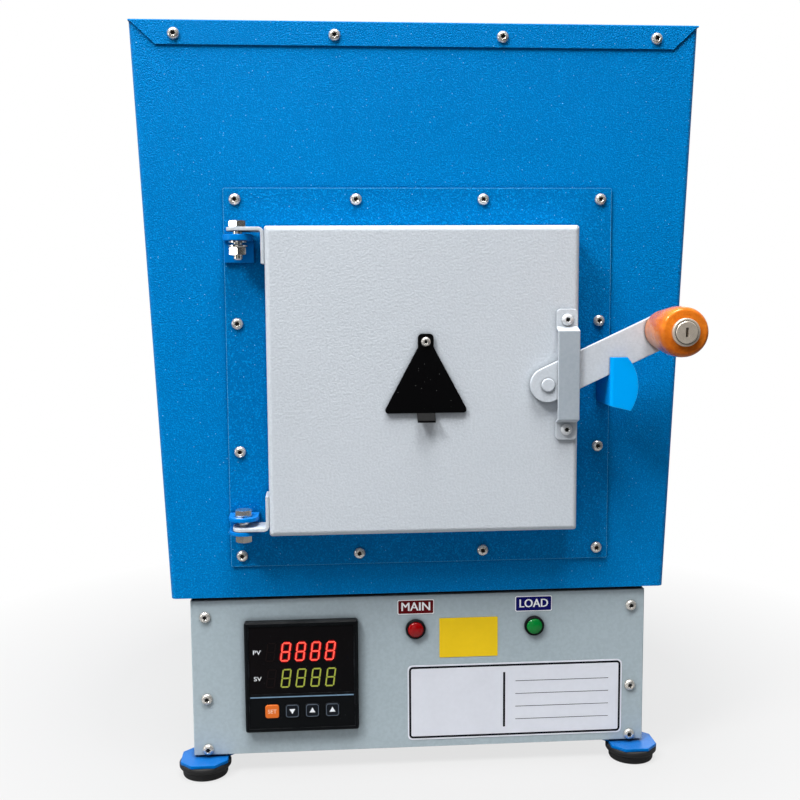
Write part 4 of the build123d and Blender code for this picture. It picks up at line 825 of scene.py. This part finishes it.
def addHexagon(bm, across, low, high, place):
    before = set(bm.verts)
    crownRadius = across / 2 * crownShare
    rings = []
    for level in range(4):
        ring = bmesh.ops.create_circle(bm, cap_ends=level in (0, 3), segments=48, radius=1.0)["verts"]
        for vert in ring:
            angle = math.atan2(vert.co.y, vert.co.x)
            offset = (angle + math.pi / 6) % (math.pi / 3) - math.pi / 6
            corner = across / 2 / math.cos(offset)
            drop = max(0.0, (corner - crownRadius) * crownSlope)
            radius = crownRadius if level in (0, 3) else corner
            height = (low, low + drop, high - drop, high)[level]
            vert.co = at(radius * math.cos(angle), radius * math.sin(angle), height)
        rings.append(ring)
    bridgeRings(bm, zip(rings, rings[1:]))
    fresh = addedSince(bm, before)
    faceOutward(bm, fresh)
    bmesh.ops.transform(bm, matrix=place, verts=fresh)


def threadProfile(radius, low, high, pitch=1.25, depth=0.45):
    points = [(0, low), (radius - 0.9, low), (radius - depth, low + 0.6)]
    height = low + 0.6
    while height + pitch < high:
        points += [(radius, height + pitch * 0.3), (radius, height + pitch * 0.45),
                   (radius - depth, height + pitch * 0.8), (radius - depth, height + pitch)]
        height += pitch
    return points


def boltSeat(box):
    return Matrix.Translation((middleOf(box).x, middleOf(box).y, box[0].z))


boltLook = {"head": 5.3, "across": 13.0, "radius": 4.0, "thread": 13.0, "nut": 6.5, "washer": 1.6,
            "washerRadius": 8.0, "washerBore": 4.1, "washerEdge": 0.25, "washerStep": 0.6}
bm = bmesh.new()
for box in islandBoxes("hinge_bolts"):
    axisPlace = boltSeat(box)
    length = (box[1].z - box[0].z) / mm
    shoulder = length - boltLook["head"]
    addHexagon(bm, boltLook["across"], shoulder, length, axisPlace)
    radius = boltLook["radius"]
    thread = threadProfile(radius, 0, boltLook["thread"])
    shank = [(radius, boltLook["thread"] + 0.4), (radius, shoulder + 0.1), (0, shoulder + 0.1)]
    addTurned(bm, thread + shank, 32, axisPlace)
addPiece("hinge_bolt_pair", bm, "cabinet", "boltZinc", ("hinge_bolts",))
bm = bmesh.new()
for box in islandBoxes("hinge_nuts"):
    axisPlace = boltSeat(box)
    addHexagon(bm, boltLook["across"], 0, boltLook["nut"], axisPlace)
    spare = (box[1].z - box[0].z) / mm - boltLook["nut"]
    outer, thick = boltLook["washerRadius"], boltLook["washer"]
    bore, edge = boltLook["washerBore"], boltLook["washerEdge"]
    if spare > 1:
        for low in (boltLook["nut"] + 0.05, boltLook["nut"] + spare - thick):
            addTurned(bm, ((bore, low), (outer - edge, low), (outer, low + edge), (outer, low + thick - edge),
                           (outer - edge, low + thick), (bore, low + thick), (bore, low)), 48, axisPlace)
            outer -= boltLook["washerStep"]
addPiece("hinge_nut_pair", bm, "cabinet", "boltZinc", ("hinge_nuts",))
print("hinge bolts placed")

# moulded rubber feet, a wide rim over a narrower tread
footLook = {"profile": ((0, 0.4), (13.5, 0.4), (14.2, 0), (17.4, 0), (18.6, 0.5), (19.1, 1.6), (19.3, 5.6),
                        (19.7, 6.5), (21.2, 7.3), (21.9, 8.2), (22, 9.4), (22, 10.9), (21.5, 11.7),
                        (20.7, 12), (0, 12))}
footSeats = [Matrix.Translation((middleOf(box).x, middleOf(box).y, 0)) for box in islandBoxes("foot_rubbers")]
turnedPiece("foot_rubbers_moulded", "cabinet", "rubber", footLook["profile"], 72, footSeats,
            ("foot_rubbers",))

# indicator lamps: a black bezel on a threaded barrel with its nut, and a domed lens
lampLook = {
    "bezel": ((0, 1.8), (6.95, 1.8), (6.95, 3.1), (7.15, 3.4), (7.6, 3.35), (8.2, 2.9), (8.6, 2.1),
              (8.6, 0), (6, 0), (6, -26), (0, -26)),
    "lens": ((0, 5.2), (2.4, 5.1), (4.4, 4.75), (5.8, 4.1), (6.6, 3.3), (6.85, 2.5), (6.85, 1.85),
             (0, 1.85)),
    "nut": (16.0, -5.5, -1.5), "steps": 64,
}
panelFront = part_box("control_front_panel")[0].y
bm = bmesh.new()
for box in islandBoxes("lamp_bodies"):
    seat = Matrix.Translation((middleOf(box).x, panelFront, middleOf(box).z)) @ towardsFront
    addTurned(bm, lampLook["bezel"], lampLook["steps"], seat)
    addHexagon(bm, *lampLook["nut"], seat)
addPiece("lamp_bezels", bm, "cabinet", "caseBlack", ("lamp_bodies",))
for nodeName, finishName, slotName in (("red_lens", "lensRed", "lens_red"),
                                       ("green_lens", "lensGreen", "lens_green")):
    middle = middleOf(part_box(nodeName))
    seat = Matrix.Translation((middle.x, panelFront, middle.z)) @ towardsFront
    turnedPiece(nodeName + "_dome", "cabinet", finishName, lampLook["lens"], lampLook["steps"],
                [seat], (nodeName,), 60)
print("feet and lamps placed")

# the turned grip, bored for its lock
knobLook = {
    "profile": ((0, 0), (15.0, 0), (15.7, 0.35), (15.9, 1.2), (16.6, 7), (17.3, 13), (18.1, 20), (18.9, 27),
                (19.45, 33), (19.6, 38), (19.5, 43), (19.2, 46.8), (18.8, 48.5), (18.1, 49.8),
                (17.1, 50.6), (15.9, 51.0), (9.65, 51.0), (9.65, 21.0), (0, 21.0)),
}
knobSeat = Matrix.Translation((knobMiddle.x, knobHigh.y, knobMiddle.z)) @ towardsFront
turnedPiece("knob_turned", "lever", "knobWood", knobLook["profile"], 96, [knobSeat],
            ("knob",), 50)

# nickel lock: flange ring and bored barrel, then the key plug with its slot
lockLook = {
    "ring": ((9.6, 21.2), (9.6, 51.0), (10.4, 51.0), (10.8, 51.3), (10.8, 53.2), (10.5, 53.7), (9.9, 54.0),
             (8.9, 54.0), (8.55, 53.7), (8.55, 25.2), (0, 25.2), (0, 21.2), (9.6, 21.2)),
}
turnedPiece("lock_barrel_turned", "lever", "nickel", lockLook["ring"], 80, [knobSeat],
            ("lock_barrel",))
soften("lock_plug", "lock_plug", "nickel", 0.25)
print("grip and lock placed")


def panelPlace(x, z, depth):
    return Matrix.Translation((x * mm, depth, z * mm)) @ towardsFront


# a flat plate with round corners in the plane of the panel, its front face at the given depth
def addPlate(bm, x, z, width, height, corner, front, thick, rim=0.0):
    before = set(bm.verts)
    bmesh.ops.create_grid(bm, x_segments=1, y_segments=1, size=0.5)
    fresh = addedSince(bm, before)
    bmesh.ops.scale(bm, vec=(width * mm, height * mm, 1), verts=fresh)
    if corner:
        bmesh.ops.bevel(bm, geom=fresh, offset=corner * mm, segments=6, profile=0.5,
                        affect="VERTICES", material=-1)
    if rim:
        face = next(face for face in bm.faces if face.verts[0] not in before)
        bmesh.ops.inset_region(bm, faces=[face], thickness=rim * mm, depth=0, use_even_offset=True,
                               use_boundary=True)
        bmesh.ops.delete(bm, geom=[face], context="FACES_ONLY")
    thicken(bm, before, thick * mm, panelPlace(x, z, front + thick * mm))


# raised lettering, made a mesh and set upright on the panel
def addWords(bm, words, x, z, height, front, thick, bold=0.0, span=None):
    curve = bpy.data.curves.new("letters", "FONT")
    curve.body = words
    curve.size = 1.0
    curve.align_x = "CENTER"
    curve.align_y = "CENTER"
    curve.extrude = 0.5
    curve.resolution_u = 3
    holder = bpy.data.objects.new("letters", curve)
    bpy.context.scene.collection.objects.link(holder)
    bpy.context.view_layer.update()
    mesh = bpy.data.meshes.new_from_object(holder.evaluated_get(bpy.context.evaluated_depsgraph_get()))
    bpy.data.objects.remove(holder)
    broad, tall = (max(values) - min(values) for values in
                   ([vert.co[axis] for vert in mesh.vertices] for axis in (0, 1)))
    size = height * mm / tall
    wide = span * mm / broad if span else size
    # heavier letters are two copies side by side
    for index, shift in enumerate((-bold, bold) if bold else (0.0,)):
        before = set(bm.verts)
        bm.from_mesh(mesh)
        bmesh.ops.remove_doubles(bm, verts=addedSince(bm, before), dist=1e-5)
        shape = Matrix.Diagonal((wide, size, thick * mm, 1.0))
        place = panelPlace(x + shift, z, front + (thick / 2 + index * 0.003) * mm)
        bmesh.ops.transform(bm, matrix=place @ shape, verts=addedSince(bm, before))
    bpy.data.meshes.remove(mesh)


plateLooks = {
    "main_plate": {"x": -4.5, "z": 141.7, "size": (31.5, 12.8), "corner": 1.4, "back": "printWhite",
                   "rim": 0.7, "front": "printMaroon", "words": "MAIN", "letters": 7.2, "span": 24.4},
    "load_plate": {"x": 97.5, "z": 141.8, "size": (32.1, 13.5), "corner": 1.4, "back": "printWhite",
                   "rim": 0.7, "front": "printNavy", "words": "LOAD", "letters": 7.2, "span": 24.6},
    "yellow_plate": {"x": 41.0, "z": 113.8, "size": (50.5, 34.7), "corner": 0.8, "back": "printYellow"},
    "white_plate": {"x": 82.0, "z": 56.8, "size": (188.0, 66.5), "corner": 4.0, "back": "plateWhite"},
}
# how far each layer stands out from the panel, and how thick its coat is
layers = {"plate": 0.3, "line": 0.34, "field": 0.36, "word": 0.42, "coat": 0.06, "ink": 0.04}
for plateName, look in plateLooks.items():
    bm = bmesh.new()
    width, height = look["size"]
    addPlate(bm, look["x"], look["z"], width, height, look["corner"],
             panelFront - layers["plate"] * mm, layers["plate"])
    addPiece(plateName, bm, "cabinet", look["back"])
    if "front" in look:
        bm = bmesh.new()
        inside = 2 * look["rim"]
        addPlate(bm, look["x"], look["z"], width - inside, height - inside, 1.0,
                 panelFront - layers["field"] * mm, layers["coat"])
        addPiece(plateName + "_field", bm, "cabinet", look["front"])
        bm = bmesh.new()
        addWords(bm, look["words"], look["x"], look["z"], look["letters"],
                 panelFront - layers["word"] * mm, layers["coat"], 0.22, look["span"])
        addPiece(plateName + "_word", bm, "cabinet", "printWhite")
# border, divider and ruled lines of the white plate: x, z, width, height, corner and rim
whiteLines = [(82.0, 56.8, 185.4, 63.9, 3.4, 1.8), (72.1, 57.1, 1.9, 49.0, 0, 0)]
whiteLines += [(123.0, 73.4 - row * 11.4, 82.0, 0.5, 0, 0) for row in range(4)]
bm = bmesh.new()
for x, z, width, height, corner, rim in whiteLines:
    addPlate(bm, x, z, width, height, corner, panelFront - layers["line"] * mm, layers["ink"], rim)
addPiece("white_plate_lines", bm, "cabinet", "printBlack")
print("plates placed")

# controller face: two rows of seven-segment digits, small captions and a printed line
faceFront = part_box("controller_window")[0].y
segmentRuns = (((-1, 2), (1, 2)), ((1, 2), (1, 0)), ((1, 0), (1, -2)), ((-1, -2), (1, -2)),
               ((-1, 0), (-1, -2)), ((-1, 2), (-1, 0)), ((-1, 0), (1, 0)))


def addSegment(bm, start, end, look, place):
    width = look["stroke"]
    before = set(bm.verts)
    bmesh.ops.create_circle(bm, cap_ends=True, segments=6, radius=1.0)
    run = Vector(end) - Vector(start)
    reach = run.length / 2 + width * 0.1
    for vert in addedSince(bm, before):
        tip = abs(vert.co.x) > 0.9
        side = 1 if vert.co.x > 0 else -1
        vert.co = Vector((side * (reach if tip else reach - width * 0.45),
                          0 if tip else math.copysign(width / 2, vert.co.y), 0))
    middle = (Vector(start) + Vector(end)) / 2
    turn = Matrix.Rotation(math.atan2(run.y, run.x), 4, "Z")
    thicken(bm, before, look["thick"], place @ Matrix.Translation((middle.x, middle.y, 0)) @ turn)


def addDigits(bm, centreZ, look):
    lean = Matrix.Identity(4)
    lean[0][1] = math.tan(math.radians(look["slant"]))
    halfWide, halfTall = look["width"] / 2, look["height"] / 4
    for column in look["columns"]:
        place = panelPlace(look["x"] + column * look["pitch"], centreZ, faceFront - look["proud"] * mm)
        for run in segmentRuns:
            start, end = ((across * halfWide, up * halfTall) for across, up in run)
            addSegment(bm, start, end, look, place @ Matrix.Scale(mm, 4) @ lean)


digitLook = {"x": -96.8, "width": 6.6, "height": 15.2, "pitch": 12.55, "stroke": 1.15, "thick": 0.1,
             "slant": 8.0, "proud": 0.02, "columns": (-1.5, -0.5, 0.5, 1.5)}
spareLook = dict(digitLook, columns=(-2.5,))
# wide dim strokes behind the lit digits: a painted glow spilling round them
glowHaloLook = dict(digitLook, stroke=3.0, proud=-0.05)
upperRow, lowerRow = 107.7, 84.7
for pieceName, centreZ, look, finishName in (("upper_digits", upperRow, digitLook, "digitRed"),
                                             ("upper_spare_digit", upperRow, spareLook, "digitOff"),
                                             ("lower_digits", lowerRow, digitLook, "digitGreen"),
                                             ("lower_spare_digit", lowerRow, spareLook, "digitOff"),
                                             ("upper_digits_haze", upperRow, glowHaloLook, "digitGlowHalo")):
    bm = bmesh.new()
    addDigits(bm, centreZ, look)
    addPiece(pieceName, bm, "cabinet", finishName)
captions = {"PV": (-140.0, 107.6), "SV": (-139.6, 84.6)}
printThick = 0.1
bm = bmesh.new()
for words, (x, z) in captions.items():
    addWords(bm, words, x, z, 3.6, faceFront - printThick * mm, printThick, 0.05, 6.4)
addPiece("controller_captions", bm, "cabinet", "printPale")
bm = bmesh.new()
addPlate(bm, -102.3, 68.5, 87.5, 1.0, 0, faceFront - 0.25 * mm, printThick)
addPiece("controller_line", bm, "cabinet", "printSteelBlue")


def addTriangle(bm, x, z, size, upwards, front, thick):
    before = set(bm.verts)
    bmesh.ops.create_circle(bm, cap_ends=True, segments=3, radius=size * mm)
    turn = Matrix.Rotation(0 if upwards else math.pi, 4, "Z")
    thicken(bm, before, thick * mm, panelPlace(x, z, front + thick * mm) @ turn)


keyLooks = (("key_set", "keyOrange", "key_orange", "SET"), ("key_shift", "keyBlack", "key_black", "down"),
            ("key_down", "keyBlack", "key_black", "up"), ("key_up", "keyBlack", "key_black", "up"))
for nodeName, finishName, slotName, mark in keyLooks:
    soften(nodeName, nodeName, finishName, 0.15)
    low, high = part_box(nodeName)
    middle = (low + high) / 2 / mm
    keyFront = low.y - 0.05 * mm
    bm = bmesh.new()
    if mark == "SET":
        addWords(bm, mark, middle.x, middle.z, 3.4, keyFront, printThick, 0.04)
    else:
        drop = 0.3 if mark == "down" else -0.3
        addTriangle(bm, middle.x, middle.z + drop, 2.9, mark == "up", keyFront, printThick)
        outline = bmesh.new()
        addPlate(outline, middle.x, middle.z, 10.6, 10.6, 2.0, keyFront, printThick, rim=0.4)
        addPiece(nodeName + "_outline", outline, nodeName, "printDim")
    addPiece(nodeName + "_mark", bm, nodeName, "printPale" if mark != "SET" else "printPeach")
print("controller dressed")

# cable gland at the back: hexagon, ribbed cap with a soft seal, thread and nut inside
glandLook = {
    "cap": ((5.5, 7), (10.5, 7), (10.5, 17.4), (10.2, 18.6), (9.2, 20.2), (7.6, 21), (6.4, 21), (5.5, 20.4),
            (5.5, 7)),
    "thread": ((5.5, -8.5), (10, -8.5), (10, 0), (5.5, 0), (5.5, -8.5)),
    "seal": ((5.6, 16.5), (5.6, 19.6), (6.6, 19.6), (6.6, 16.5), (5.6, 16.5)),
    "across": 24.0, "ribFrom": 10.4, "ribTop": 17.5, "ribEvery": 3, "ribDepth": 0.955, "steps": 72,
}
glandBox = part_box("cable_gland")
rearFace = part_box("control_rear_panel")[1].y
glandSeat = Matrix.Translation((middleOf(glandBox).x, rearFace, middleOf(glandBox).z)) @ towardsBack
bm = bmesh.new()
for vert in addTurned(bm, glandLook["cap"], glandLook["steps"], glandSeat):
    local = glandSeat.inverted() @ vert.co
    radius = math.hypot(local.x, local.y)
    if radius > glandLook["ribFrom"] * mm and local.z < glandLook["ribTop"] * mm:
        step = round(math.atan2(local.y, local.x) / math.tau * glandLook["steps"])
        if step % glandLook["ribEvery"] == 0:
            local.x *= glandLook["ribDepth"]
            local.y *= glandLook["ribDepth"]
        vert.co = glandSeat @ local
addTurned(bm, glandLook["thread"], 48, glandSeat)
for low, high in ((0, 7), (-6.5, -1.5)):
    addHexagon(bm, glandLook["across"], low, high, glandSeat)
addPiece("cable_gland_ribbed", bm, "cabinet", "glandNylon", ("cable_gland",))
turnedPiece("cable_gland_seal", "cabinet", "blackFoamAndGapShade", glandLook["seal"], 48, [glandSeat])

# braided rope seal round the door's plug
ropeLook = {"size": 152.0, "corner": 12.0, "radius": 4.0, "along": 320, "round": 14, "strands": 84,
            "ribs": 4, "weave": 0.06}


def ropePath(look):
    half, corner = look["size"] / 2 + look["radius"], look["corner"]
    straight = 2 * (half - corner)
    total = 4 * straight + math.tau * corner
    for index in range(look["along"]):
        gone = index / look["along"] * total
        side, rest = divmod(gone, straight + math.pi / 2 * corner)
        if rest < straight:
            point, heading = Vector((rest - straight / 2, -half)), 0.0
        else:
            heading = (rest - straight) / corner
            point = Vector((straight / 2 + corner * math.sin(heading),
                            -half + corner * (1 - math.cos(heading))))
        turn = Matrix.Rotation(side * math.pi / 2, 2)
        yield turn @ point, side * math.pi / 2 + heading


sealLow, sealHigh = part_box("door_seal")
sealMiddle = middleOf((sealLow, sealHigh))
bm = bmesh.new()
rings = []
depth = (sealHigh.y - sealLow.y) / 2
for index, (point, heading) in enumerate(ropePath(ropeLook)):
    ring = bmesh.ops.create_circle(bm, cap_ends=False, segments=ropeLook["round"], radius=1.0)["verts"]
    for vert in ring:
        angle = math.atan2(vert.co.y, vert.co.x)
        twist = index / ropeLook["along"] * ropeLook["strands"] * math.tau
        weave = math.sin(angle * ropeLook["ribs"] + twist) * math.sin(angle * ropeLook["ribs"] - twist)
        swell = 1 - ropeLook["weave"] + ropeLook["weave"] * weave
        radius = ropeLook["radius"] * swell * mm
        outward = Vector((math.sin(heading), -math.cos(heading)))
        flat = point * mm + outward * radius * math.cos(angle)
        vert.co = Vector((sealMiddle.x + flat.x, sealMiddle.y + depth * swell * math.sin(angle),
                          sealMiddle.z + flat.y))
    rings.append(ring)
bridgeRings(bm, zip(rings, rings[1:] + rings[:1]))
bmesh.ops.recalc_face_normals(bm, faces=bm.faces)
addPiece("door_seal_rope", bm, "door", "ropeFibre", ("door_seal",), 70)
print("gland and rope seal placed")

low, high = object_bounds()
